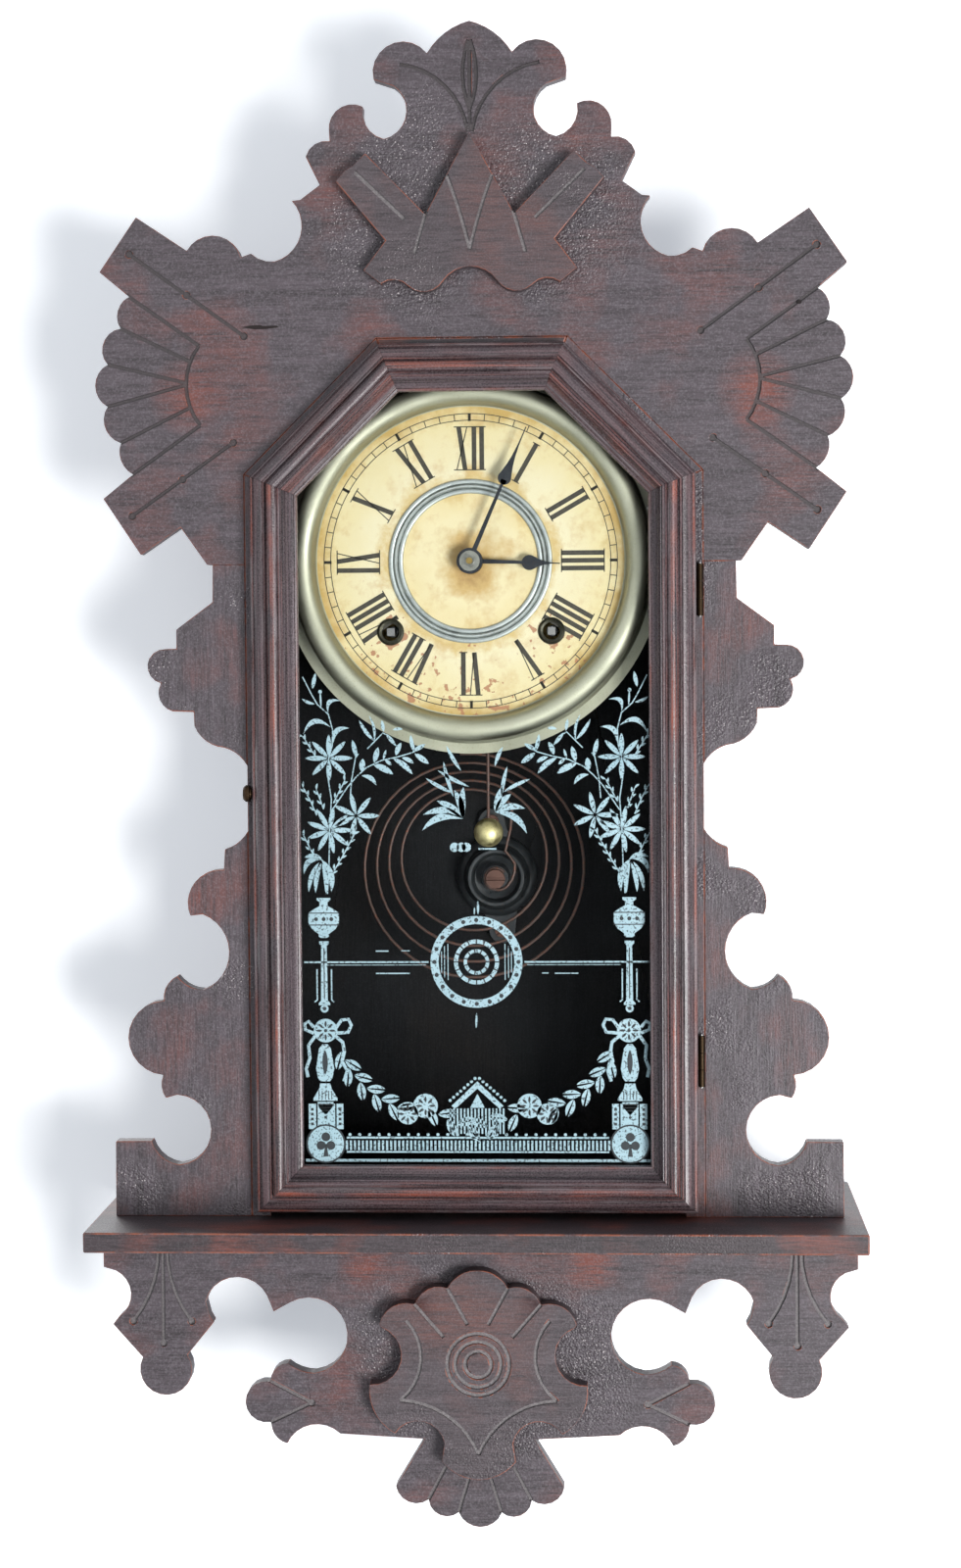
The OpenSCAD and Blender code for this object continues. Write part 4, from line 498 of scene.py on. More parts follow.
# ---- Dial ----
# A spun and nickelled brass pan with a rolled flare and lip. On it lies a printed card dial,
# held by a spun ring with three beads and by two grommets round the winding holes.
dial_low, dial_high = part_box("dial_paper")
dial_x, dial_z = (dial_low.x + dial_high.x) / 2, (dial_low.z + dial_high.z) / 2
paper_y = dial_low.y
nickel = worn_metal("tarnished_nickel_pan", "#a3a28e", "#bfbfac", 0.58, grain=30.0, stain="#857d62",
                    stained=0.25)
bead_nickel = worn_metal("tarnished_nickel_beads", "#959a97", "#b9bfbc", 0.5, stain="#6a6347")
hole_black = worn_metal("blackened_grommet", "#2b2a24", "#45443a", 0.4)
dressed("dial_pan", [nickel])
dressed("dial_ring", [bead_nickel])
dressed("dial_grommets", [hole_black])

grommet_low, grommet_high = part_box("dial_grommets")
grommet_r = (grommet_high.z - grommet_low.z) * 500
hole_x = (grommet_high.x - grommet_low.x) * 500 - grommet_r
hole_z = ((grommet_high.z + grommet_low.z) / 2 - dial_z) * 1000
# How far the browned edges stray, and the distance from the hub that the ramp spans, in mm.
stray, ramp_reach = 34.0, 80.0
card, tree, shader, mm = finish("varnished_dial_card")
hub = (dial_x * 1000, paper_y * 1000, dial_z * 1000)
round_hub = add(tree, "ShaderNodeVectorMath", {0: mm, 1: hub}, operation="SUBTRACT")
radius = add(tree, "ShaderNodeVectorMath", {0: round_hub}, operation="LENGTH")
cloud = add(tree, "ShaderNodeTexNoise", {"Vector": mm, "Scale": 1 / 16, "Detail": 6.0, "Roughness": 0.65})
wander = add(tree, "ShaderNodeMath", {0: cloud, 1: stray, 2: radius}, operation="MULTIPLY_ADD")
share = add(tree, "ShaderNodeMath", {0: wander, 1: -stray / 2}, operation="ADD")
spread = add(tree, "ShaderNodeMath", {0: share, 1: ramp_reach}, operation="DIVIDE")
browning = add(tree, "ShaderNodeValToRGB", {0: spread}, stops=[
    (0.0, colour("#8f6634")), (0.13, colour("#cbaa6e")), (0.24, colour("#e9dcb2")),
    (0.38, colour("#e4d3a2")), (0.47, colour("#d3b87c")), (0.55, colour("#e9dfbb")),
    (0.80, colour("#e4d5a4")), (0.93, colour("#c0a05c"))])
damp = add(tree, "ShaderNodeTexNoise", {"Vector": mm, "Scale": 1 / 9, "Detail": 6.0, "Roughness": 0.7})
blotch = add(tree, "ShaderNodeMapRange", {"Value": damp, "From Min": 0.5, "From Max": 0.78, "To Max": 0.7})
foxed = add(tree, "ShaderNodeMix", {0: blotch, 6: browning, 7: colour("#c9a468")}, data_type="RGBA")
flake = add(tree, "ShaderNodeTexNoise", {"Vector": mm, "Scale": 1 / 4.2, "Detail": 4.0})
low = add(tree, "ShaderNodeSeparateXYZ", {0: round_hub})
depth = add(tree, "ShaderNodeMapRange", {"Value": low.outputs[2], "From Min": 6.0, "From Max": -62.0,
                                         "To Min": -0.12, "To Max": 0.09})
sides = add(tree, "ShaderNodeMath", {0: low.outputs[0]}, operation="ABSOLUTE")
mirrored = add(tree, "ShaderNodeCombineXYZ", {0: sides, 2: low.outputs[2]})
keyed = add(tree, "ShaderNodeVectorMath", {0: mirrored, 1: (hole_x, 0, hole_z)}, operation="DISTANCE")
chafed = add(tree, "ShaderNodeMapRange", {"Value": keyed, "From Min": 2 * grommet_r, "From Max": grommet_r,
                                          "To Max": 0.12})
loose = add(tree, "ShaderNodeMath", {0: flake, 1: depth}, operation="ADD")
looser = add(tree, "ShaderNodeMath", {0: loose, 1: chafed}, operation="ADD")
lost = add(tree, "ShaderNodeMapRange", {"Value": looser, "From Min": 0.67, "From Max": 0.69,
                                        "To Max": 0.85})
flaked = add(tree, "ShaderNodeMix", {0: lost, 6: foxed, 7: colour("#ab7150")}, data_type="RGBA")
fibre = add(tree, "ShaderNodeTexNoise", {"Vector": mm, "Scale": 1 / 0.7, "Detail": 2.0})
bump = add(tree, "ShaderNodeBump", {"Strength": 0.12, "Distance": 0.0001, "Height": fibre})
feed(shader, {"Base Color": flaked, "Normal": bump, "Roughness": 0.42})
dressed("dial_paper", [card])

# ---- Printed chapter ring ----
# Letterpress black ink on the card: a minute track of two thin circles with a tick for each
# minute and a bar for each fifth, and upright Roman numerals with their feet to the centre.
ink_film = 0.00005
ink, tree, shader, mm = finish("letterpress_ink_on_card")
feed(shader, {"Base Color": mottled(tree, mm, 1.2, "#181712", "#4c473a", 3.0), "Roughness": 0.55})
stamps = []


def stamp(name, outlines, thick):
    """A flat shape to be repeated: its foot at the origin, pointing along x, lying across y."""
    stamps.append(slabs(name, outlines, -thick, thick, ink))
    return stamps[-1]


ring_tree, given, made = group("shapes_round_a_circle", [("Count", "Int"), ("Radius", "Float"),
                               ("Shape", "Object"), ("Centre", "Vector"), ("Material", "Material")])
circle = add(ring_tree, "GeometryNodeMeshCircle", {"Vertices": given.outputs["Count"],
                                                   "Radius": given.outputs["Radius"]})
upright = add(ring_tree, "GeometryNodeTransform", {"Geometry": circle, "Rotation": (math.pi / 2, 0, 0)})
outward = add(ring_tree, "FunctionNodeAlignRotationToVector",
              {"Vector": add(ring_tree, "GeometryNodeInputPosition")}, axis="X", pivot_axis="Y")
shape = add(ring_tree, "GeometryNodeObjectInfo", {"Object": given.outputs["Shape"]})
copies = add(ring_tree, "GeometryNodeInstanceOnPoints", {"Points": upright,
             "Instance": shape.outputs["Geometry"], "Rotation": outward})
moved = add(ring_tree, "GeometryNodeTransform", {"Geometry": copies,
                                                 "Translation": given.outputs["Centre"]})
end_tree(ring_tree, moved, given, made)


def ringed(name, shape, count, radius, centre, material):
    """Copies of a stamp round a circle that lies in the plane of the front."""
    return grown(name, ring_tree, {"Count": count, "Radius": radius, "Shape": shape, "Centre": centre,
                                   "Material": material})


track_in, track_out, track_line = 0.0659, 0.0690, 0.0004
for name, count, width, length in (("minute_ticks", 60, 0.00045, track_out - track_in),
                                   ("five_minute_bars", 12, 0.0014, 0.0036)):
    tick = stamp(name + "_stamp", [[(0, -width / 2), (length, -width / 2), (length, width / 2),
                                    (0, width / 2)]], ink_film)
    printed = ringed(name, tick, count, (track_in + track_out - length) / 2, (dial_x, paper_y, dial_z), ink)
    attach(printed, "case")

foot, head, bar, hair = 42.9, 63.0, 2.2, 0.5
# A letter's width, its strokes (where they stand at the foot and at the head, and how thick)
# and its serifs (at which end, from where to where), in millimetres from its left side.
letters = {"I": (3.6, [(1.8, 1.8, bar)], [(foot, -0.1, 3.7), (head, -0.1, 3.7)]),
           "V": (7.4, [(4.0, 2.2, bar), (4.1, 6.0, hair)], [(head, 0.3, 4.2), (head, 4.4, 7.3)]),
           "X": (7.8, [(5.4, 2.4, bar), (1.5, 6.3, hair)], [(foot, 0.1, 7.7), (head, 0.1, 7.7)])}
strokes = []


def numeral_stroke(hour, a, b, width):
    """A straight stroke of the numeral at an hour, from a to b as (clockwise, outward) places."""
    turn = math.radians(30 * hour)
    start, end = [Vector((dial_x + (s * math.cos(turn) + r * math.sin(turn)) / 1000,
                          dial_z + (r * math.cos(turn) - s * math.sin(turn)) / 1000)) for s, r in (a, b)]
    run = (end - start).normalized()
    side = Vector((-run.y, run.x)) * width / 2000
    strokes.append([tuple(spot) for spot in (start + side, start - side, end - side, end + side)])


for hour, numeral in enumerate("I II III IIII V VI VII VIII IX X XI XII".split(), 1):
    left = -sum(letters[letter][0] for letter in numeral) / 2
    for letter in numeral:
        width, lines, serifs = letters[letter]
        for low_x, high_x, thick in lines:
            numeral_stroke(hour, (left + low_x, foot), (left + high_x, head), thick)
        for end, from_x, to_x in serifs:
            numeral_stroke(hour, (left + from_x, end), (left + to_x, end), hair)
        left += width
for r in (track_in, track_out):
    for k in range(120):
        a, b = math.radians(3 * k), math.radians(3 * k + 3)
        strokes.append([(dial_x + q * math.sin(t), dial_z + q * math.cos(t)) for q, t in
                        ((r, a), (r, b), (r + track_line, b), (r + track_line, a))])
numerals = slabs("numerals_and_track", strokes, paper_y - ink_film, paper_y + ink_film, ink)
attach(numerals, "case")

# ---- Hands ----
# Stamped steel hands, blued and now dull. The hour hand is pushed on its pipe, and a washer
# and a taper pin hold the minute hand on the squared end of the centre arbor.
blued = worn_metal("dulled_blued_steel", "#23262b", "#3a3d41", 0.4, metallic=0.7, grain=5.0,
                   stain="#4a3a30", stained=0.5)
washer = worn_metal("grey_steel_washer", "#77776f", "#94948c", 0.42, stain="#4a4436")
for hand in ("hour_hand", "minute_hand"):
    dressed(hand, [blued], 0.0001)
dressed("hand_nut", [washer], 0.0001)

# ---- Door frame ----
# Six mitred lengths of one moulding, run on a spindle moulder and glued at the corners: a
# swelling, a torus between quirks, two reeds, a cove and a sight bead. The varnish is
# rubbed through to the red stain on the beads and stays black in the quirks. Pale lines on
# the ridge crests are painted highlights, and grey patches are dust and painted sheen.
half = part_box("door_stiles")[1].x
door_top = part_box("door_rails")[1].z
door_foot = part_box("door_rails")[0].z
stile_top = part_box("door_shoulders")[0].z
moulding_width = 22.0


def greys(*stops):
    """Ramp stops from places and how light they are."""
    return [(place, (light, light, light, 1)) for place, light in stops]


moulding, tree, shader, mm = finish("rubbed_varnish_on_moulding")
run = add(tree, "ShaderNodeAttribute", attribute_name="run")
run_mm = add(tree, "ShaderNodeVectorMath", {0: run.outputs["Vector"], 1: (1000, 1000, 1000)},
             operation="MULTIPLY")
along = add(tree, "ShaderNodeMapping", {"Vector": run_mm, "Scale": (1 / 60, 1 / 0.9, 1 / 0.9)})
streak = add(tree, "ShaderNodeTexNoise", {"Vector": along, "Scale": 1.0, "Detail": 5.0, "Roughness": 0.6})
wear = add(tree, "ShaderNodeTexNoise", {"Vector": run_mm, "Scale": 1 / 26, "Detail": 4.0})
grit = add(tree, "ShaderNodeTexNoise", {"Vector": mm, "Scale": 1 / 0.8, "Detail": 3.0})
across = add(tree, "ShaderNodeSeparateXYZ", {0: run_mm})
place = add(tree, "ShaderNodeMath", {0: across.outputs[1], 1: moulding_width}, operation="DIVIDE")
ridge = add(tree, "ShaderNodeValToRGB", {0: place}, stops=greys(
    (0.0, 0.2), (0.05, 1), (0.08, 0.15), (0.3, 0.12), (0.335, 0.7), (0.36, 0), (0.4, 0.75), (0.52, 0.9),
    (0.58, 0.1), (0.635, 0.5), (0.665, 0), (0.7, 0.4), (0.73, 0), (0.93, 0.08), (0.96, 0.8), (1.0, 0.3)))
broken = add(tree, "ShaderNodeMapRange", {"Value": wear, "From Min": 0.36, "From Max": 0.62})
strength = add(tree, "ShaderNodeMath", {0: ridge, 1: broken}, operation="MULTIPLY")
lines = add(tree, "ShaderNodeMapRange", {"Value": streak, "From Min": 0.38, "From Max": 0.62})
thread = add(tree, "ShaderNodeMath", {0: strength, 1: lines}, operation="MULTIPLY")
base = add(tree, "ShaderNodeMix", {0: lines, 6: colour("#2a2225"), 7: colour("#574b50")}, data_type="RGBA")
rubbed = add(tree, "ShaderNodeMix", {0: thread, 6: base, 7: colour("#8e4630")}, data_type="RGBA")
# Pale lines along the ridge crests, broken in patches, are painted highlights; the grey from the grit below
# is dust and painted sheen.
ridge_highlights = add(tree, "ShaderNodeValToRGB", {0: place}, stops=greys(
    (0.0, 0), (0.035, 0.5), (0.06, 0), (0.26, 0), (0.285, 0.4), (0.31, 0), (0.56, 0), (0.585, 0.6),
    (0.61, 0), (0.64, 0), (0.655, 0.5), (0.67, 0), (0.95, 0), (0.97, 0.3), (1.0, 0)))
highlight_breaks = add(tree, "ShaderNodeMapRange", {"Value": wear, "From Min": 0.56, "From Max": 0.46})
pale = add(tree, "ShaderNodeMath", {0: ridge_highlights, 1: highlight_breaks}, operation="MULTIPLY")
dust_and_sheen = add(tree, "ShaderNodeMapRange", {"Value": grit, "From Min": 0.5, "From Max": 0.8, "To Max": 0.35})
highlight_and_sheen = add(tree, "ShaderNodeMath", {0: pale, 1: dust_and_sheen}, operation="MAXIMUM")
skin = add(tree, "ShaderNodeMix", {0: highlight_and_sheen, 6: rubbed, 7: colour("#93888a")}, data_type="RGBA")
rough = add(tree, "ShaderNodeMapRange", {"Value": grit, "From Min": 0.3, "From Max": 0.7, "To Min": 0.2,
                                         "To Max": 0.42})
uneven = add(tree, "ShaderNodeMath", {0: streak, 1: 0.6, 2: grit}, operation="MULTIPLY_ADD")
bump = add(tree, "ShaderNodeBump", {"Strength": 0.3, "Distance": 0.0003, "Height": uneven})
feed(shader, {"Base Color": skin, "Roughness": rough, "Normal": bump})

diagonal = half + stile_top
for lengths in ("door_stiles", "door_shoulders", "door_rails"):
    piece = dressed(lengths, [moulding], 0.00016, steps=1)
    marks = piece.data.attributes.new("run", "FLOAT_VECTOR", "POINT")
    for vertex in piece.data.vertices:
        x, y, z = vertex.co
        if lengths == "door_stiles":
            spot = (z, half - abs(x), y)
        elif lengths == "door_rails":
            spot = (x, min(door_top - z, z - door_foot), y)
        else:
            spot = ((abs(x) - z) / math.sqrt(2), (diagonal - abs(x) - z) / math.sqrt(2), y)
        marks.data[vertex.index].vector = spot

# ---- Glass and beads ----
# A pane of old window glass, a little smeared, held in the door's rebate by small wooden
# beads that are pinned behind it.
pane, tree, shader, mm = finish("old_window_glass")
tree.nodes.remove(shader)
clear = add(tree, "ShaderNodeBsdfTransparent", {"Color": colour("#fdfefe")})
smear = add(tree, "ShaderNodeTexNoise", {"Vector": mm, "Scale": 1 / 40, "Detail": 4.0})
gloss_rough = add(tree, "ShaderNodeMapRange", {"Value": smear, "To Min": 0.02, "To Max": 0.12})
gloss = add(tree, "ShaderNodeBsdfGlossy", {"Color": colour("#f4f8f8"), "Roughness": gloss_rough})
facing = add(tree, "ShaderNodeFresnel", {"IOR": 1.5})
weak = add(tree, "ShaderNodeMapRange", {"Value": facing, "From Min": 0.042, "To Max": 0.6})
sheet = add(tree, "ShaderNodeMixShader", {0: weak, 1: clear, 2: gloss})
feed(tree.nodes["Material Output"], {"Surface": sheet})
dressed("door_glass", [pane])
dressed("glass_beads", [back_stain], 0.0002)

# ---- Stencilled tablet ----
# A decoration printed in pale blue-white paint on the back of the glass, with lines left
# clear in it: urns on pillars with sprays, a palm, a ring, swags and a balustrade. The
# shapes are the common stock of such tablets, a little worn. The paint lies film on film.
pane_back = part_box("door_glass")[1].y
print_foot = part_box("shelf")[0].z
film = 0.00003
# The tablet's middle lies a quarter of a millimetre right of the door's, and this is twice that.
mirror_x = 0.5

transfer, tree, shader, mm = finish("worn_blue_white_stencil_paint")
thin = add(tree, "ShaderNodeTexNoise", {"Vector": mm, "Scale": 1 / 1.1, "Detail": 3.0})
gone = add(tree, "ShaderNodeMapRange", {"Value": thin, "From Min": 0.55, "From Max": 0.63, "To Max": 0.9})
blue = mottled(tree, mm, 18, "#93b3be", "#bcd6de")
worn_off = add(tree, "ShaderNodeMix", {0: gone, 6: blue, 7: colour("#3d4a50")}, data_type="RGBA")
feed(shader, {"Base Color": worn_off, "Roughness": 0.6})
clear_line, tree, shader, mm = finish("clear_line_in_stencil_paint")
feed(shader, {"Base Color": mottled(tree, mm, 3, "#14181b", "#2b3338"), "Roughness": 0.5})

along_tree, given, made = group("shapes_along_a_line", [("Shape", "Object"), ("Spacing", "Float"),
                                ("Turn", "Float"), ("Other Turn", "Float"), ("Material", "Material")])
line = add(along_tree, "GeometryNodeMeshToCurve", {0: given.outputs["Geometry"]})
spots = add(along_tree, "GeometryNodeResampleCurve", {"Curve": line, "Length": given.outputs["Spacing"]},
            mode="LENGTH")
ahead = add(along_tree, "FunctionNodeAlignRotationToVector",
            {"Vector": add(along_tree, "GeometryNodeInputTangent")}, axis="X", pivot_axis="Y")
index = add(along_tree, "GeometryNodeInputIndex")
odd = add(along_tree, "ShaderNodeMath", {0: index, 1: 2.0}, operation="MODULO")
side = add(along_tree, "ShaderNodeMapRange", {"Value": odd, "To Min": given.outputs["Turn"],
                                              "To Max": given.outputs["Other Turn"]})
about_y = add(along_tree, "ShaderNodeCombineXYZ", {"Y": side})
swing = add(along_tree, "FunctionNodeEulerToRotation", {0: about_y})
spread = add(along_tree, "FunctionNodeRotateRotation", {0: ahead, 1: swing}, rotation_space="LOCAL")
shape = add(along_tree, "GeometryNodeObjectInfo", {"Object": given.outputs["Shape"]})
copies = add(along_tree, "GeometryNodeInstanceOnPoints", {"Points": spots,
             "Instance": shape.outputs["Geometry"], "Rotation": spread})
end_tree(along_tree, copies, given, made)


def to_scale(outlines):
    """Outlines in millimetres as outlines in metres."""
    return [[(x / 1000, z / 1000) for x, z in outline] for outline in outlines]


def in_place(outlines):
    """Outlines in millimetres above the shelf's underside, as outlines in metres in the frame."""
    return [[(x, print_foot + z) for x, z in outline] for outline in to_scale(outlines)]


def both_sides(outlines):
    """Outlines on the left in millimetres, and their mirror images, in place."""
    return in_place(outlines) + in_place([[(mirror_x - x, z) for x, z in outline] for outline in outlines])


def block(x0, x1, z0, z1):
    """A rectangle."""
    return [(x0, z0), (x1, z0), (x1, z1), (x0, z1)]


def disc(x, z, r, points=20):
    """A round spot."""
    return [(x + r * math.cos(math.tau * k / points), z + r * math.sin(math.tau * k / points))
            for k in range(points)]


def hoop(x, z, inner, outer, points=48):
    """A ring, as short lengths that meet."""
    ends = [(math.cos(math.tau * k / points), math.sin(math.tau * k / points)) for k in range(points + 1)]
    return [[(x + r * c, z + r * s) for r, (c, s) in ((inner, a), (outer, a), (outer, b), (inner, b))]
            for a, b in zip(ends, ends[1:])]


def turned(x, half_profile):
    """A turned shape about an upright middle line: pairs of half width and height, from the top."""
    return [(x + w, z) for w, z in half_profile] + [(x - w, z) for w, z in half_profile[::-1]]


def frond(root, tip, width, sag):
    """A bent leaf from its root to its tip, that bows by sag to the left of its run."""
    run = Vector((tip[0] - root[0], tip[1] - root[1]))
    aside = Vector((-run.y, run.x)).normalized()
    left, right = [], []
    for k in range(9):
        t = k / 8
        spot = Vector(root) + run * t + aside * (4 * sag * t * (1 - t))
        wide = aside * width / 2 * math.sin(math.pi * t) ** 0.7
        left.append(tuple(spot + wide))
        right.append(tuple(spot - wide))
    return left + right[-2:0:-1]


def lines_of(points):
    """The edges of a line through so many points."""
    return [(k, k + 1) for k in range(len(points) - 1)]


def on_glass(piece):
    """The paint goes with the door."""
    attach(piece, "door")


def pressed_lines(name, routes, width):
    """Thin painted lines along routes of (x, z) in metres, pressed flat on the back of the glass.
    The width is in millimetres."""
    points, edges = [], []
    for route in routes:
        edges += [(len(points) + a, len(points) + b) for a, b in lines_of(route)]
        points += [(x, 0.0, z) for x, z in route]
    on_glass(grown(name, wire_tree, {"Radius": width / 2000, "Press": (1.0, 4000 * film / width, 1.0),
             "Depth": (0.0, pane_back, 0.0), "Material": transfer}, points, edges))


def paint(name, outlines, level=0):
    """Shapes on the glass, film over film: paint on the even levels and clear lines on the odd."""
    thick = film * (1 + level)
    on_glass(slabs(name, outlines, pane_back - thick, pane_back + thick,
                   clear_line if level % 2 else transfer))


def sprig(name, leaf, spacing, turn, other, routes):
    """Leaves set along each route, first on one side and then on the other."""
    for number, route in enumerate(routes):
        points = [(x, pane_back, z) for x, z in route]
        on_glass(grown(name + "_" + str(number), along_tree, {"Shape": leaf, "Spacing": spacing,
                 "Turn": math.radians(turn), "Other Turn": math.radians(other), "Material": transfer},
                 points, lines_of(points)))


def round_both(name, number, shape, count, radius, x, z, material):
    """Stamps round a place on the left of the glass and round its mirror image, in millimetres."""
    for side, middle in (("left", x), ("right", mirror_x - x)):
        on_glass(ringed(name + "_" + side + "_" + str(number), shape, count, radius / 1000,
                        (middle / 1000, pane_back, print_foot + z / 1000), material))


# Urn, pillar, bow, baluster, tassel and pedestal at each side.
urn_x, urn_z = -71.4, 150.2
rosette_z, disc_z, disc_r = 98.0, 44.4, 8.5
urn = [(3.2, 10.4), (3.2, 9.4), (1.9, 8.4), (1.9, 6.6), (4.4, 5.2), (7.2, 3.3), (7.2, -1.2), (5.6, -4.2),
       (2.4, -6.6), (2.4, -7.8), (1.4, -8.4)]
pillar = [(2.2, -10.0), (2.2, -11.2), (1.3, -12.2), (1.6, -38.0), (2.7, -39.2), (2.7, -40.2)]
baluster = [(1.2, 91.6), (2.8, 89.5), (4.3, 80.0), (3.4, 75.6), (2.2, 74.0)]
tassel = [(2.4, 73.0), (3.0, 70.4), (5.7, 66.0), (5.7, 64.8)]
cone = [(3.8, 64.2), (3.2, 61.6), (0.4, 58.4)]
paint("urns_and_pillars", both_sides(
    [turned(urn_x, [(w, urn_z + z) for w, z in part]) for part in (urn, pillar)]
    + [turned(urn_x, part) for part in (baluster, tassel, cone)]
    + [disc(urn_x, 108.4, 1.9), disc(urn_x + 0.4, rosette_z, 5.6, 28)]
    + [block(-79.4, -75.9, disc_z + 7, 63.4), block(-75.2, -66.9, disc_z + 5, 63.4),
       block(-66.2, -63.0, disc_z + 7, 63.4)]))
paint("lines_left_clear_at_the_sides", both_sides(
    [block(urn_x - 7.3, urn_x + 7.3, urn_z + dz, urn_z + dz + 0.5) for dz in (3.0, -2.6)]
    + [disc(urn_x + dx, urn_z + 0.4, 0.95, 12) for dx in (-3.6, 0, 3.6)]
    + [block(urn_x - 0.25, urn_x + 0.25, 113, 137), disc(urn_x, 108.4, 0.9, 12)]
    + [frond((urn_x, 89), (urn_x, 77), 2.6, 0), disc(urn_x + 0.4, rosette_z, 0.8, 10)]
    + [block(urn_x + dx - 0.2, urn_x + dx + 0.2, 65.4, 69.5) for dx in (-3, -1.5, 0, 1.5, 3)]
    + [block(urn_x - w, urn_x + w, z, z + 0.35) for w, z in ((3.2, 62.8), (2.8, 61.4), (1.8, 60.0))]
    + [block(x - 0.65, x + 0.65, 53.2 + 2.3 * k, 54.5 + 2.3 * k) for x in (-77.7, -64.6) for k in range(4)]
    + [disc(urn_x, 57.0, 0.7, 10), disc(urn_x, disc_z, disc_r + 0.8, 36)]), 1)
paint("corner_discs", both_sides([disc(urn_x, disc_z, disc_r, 36)]), 2)
trefoil = [disc(urn_x + 2.7 * math.sin(turn), disc_z + 0.6 + 2.7 * math.cos(turn), 2.1)
           for turn in (0, math.tau / 3, math.tau * 2 / 3)]
stalk = [(urn_x - 0.3, disc_z), (urn_x - 1.2, disc_z - 6), (urn_x + 1.2, disc_z - 6), (urn_x + 0.3, disc_z)]
paint("corner_trefoils", both_sides(trefoil + [stalk]), 3)
bows = [[(-66.0, 99.5), (-63.5, 103.0), (-60.2, 103.4), (-58.9, 100.6), (-60.4, 97.2), (-66.0, 96.8)],
        [(-76.6, 99.5), (-79.0, 102.4), (-80.9, 101.2), (-80.6, 98.4), (-76.6, 96.8)]]
tails = [[(-66.5, 95.5), (-63.0, 92.5), (-62.3, 88.0), (-63.4, 83.5), (-61.0, 79.0), (-62.6, 74.0)],
         [(-76.0, 95.5), (-79.2, 91.0), (-78.6, 85.0), (-80.4, 80.0), (-79.6, 76.0)]]
pressed_lines("ribbon_bows", both_sides(bows + tails), 1.7)
brackets = [[(urn_x + side * 3.4, 127.0), (urn_x + side * 3.4, 112.5), (urn_x + side * 4.6, 111.5)]
            for side in (-1, 1)]
pressed_lines("pillar_brackets", both_sides(brackets), 0.7)

# Balustrade and bands along the foot, and the small gable in their middle.
rail = stamp("baluster_stamp", to_scale([block(0, 4.6, -0.5, 0.5)]), film)
sprig("balustrade", rail, 0.0019, -90, -90, in_place([[(-61.5, 41.4), (62.0, 41.4)]]))
ray = stamp("ray_stamp", to_scale([block(0, 12, -0.4, 0.4)]), film)
sprig("gable_bars", ray, 0.0016, -90, -90, in_place([[(-12.5, 49.2), (12.5, 49.2)]]))
bead = stamp("bead_stamp", to_scale([disc(0, 0, 0.75, 10)]), film)
sprig("finials", bead, 0.0046, 0, 0, in_place([[(-60, 48.8), (60, 48.8)]]))
sprig("gable_beads", bead, 0.0022, 0, 0, in_place([[(-12.6, 65), (-0.8, 75.4)], [(1.3, 75.4), (13.1, 65)]]))
gable = [[(-12.0, 62.4), (-10.2, 61.0), (0.25, 70.6), (0.25, 74.0)], [(0.25, 74.0), (0.25, 70.6),
         (10.7, 61.0), (12.5, 62.4)], [(-3.2, 61.5), (0.25, 68.2), (3.7, 61.5)]]
paint("bands_and_gable", in_place(gable + [block(-61.5, 62.0, 46.9, 47.8), block(-61.5, 62.0, 40.2, 41.0),
      block(-81.0, 81.4, 35.9, 37.2), block(-81.0, 81.4, 34.0, 34.5)]))

# Ring and its water line.
ring_x, ring_z = 0.3, 130.3
rings = ((17.8, 21.6), (8.7, 10.6), (4.4, 6.0))
paint("rings", in_place([part for a, b in rings for part in hoop(ring_x, ring_z, a, b)]))
dot = stamp("dot_stamp", to_scale([disc(1.9, 0, 1.0, 12)]), 2 * film)
slit = stamp("slit_stamp", to_scale([block(-0.1, 2.0, -0.3, 0.3)]), 2 * film)
for name, mark, count, radius in (("ring_dots", dot, 20, 17.8), ("middle_ring_slits", slit, 16, 8.7),
                                  ("inner_ring_slits", slit, 11, 4.3)):
    on_glass(ringed(name, mark, count, radius / 1000,
                    (ring_x / 1000, pane_back, print_foot + ring_z / 1000), clear_line))
shade = [block(ring_x + side * x - 0.2, ring_x + side * x + 0.2, ring_z - h, ring_z + h)
         for side in (-1, 1) for x, h in ((13.4, 8.5), (15.0, 7.5), (16.4, 5.0))]
paint("water_line", in_place(shade + [block(-80.8, -22.2, 129.9, 130.7), block(22.8, 81.2, 129.9, 130.7),
      block(-70.0, -23.5, 128.8, 129.1), block(24.0, 68.0, 128.8, 129.1), block(-47, -41, 135.2, 135.8),
      block(-35, -31, 135.4, 135.9), block(-47, -31, 124.7, 125.3), block(31, 34, 124.8, 125.3),
      block(37, 48, 124.7, 125.2), frond((1.2, 152.6), (1.2, 159.0), 1.1, 0),
      frond((-0.6, 152.4), (-0.4, 156.2), 0.7, 0), frond((-0.1, 99.0), (0.2, 106.4), 1.0, 0)]))

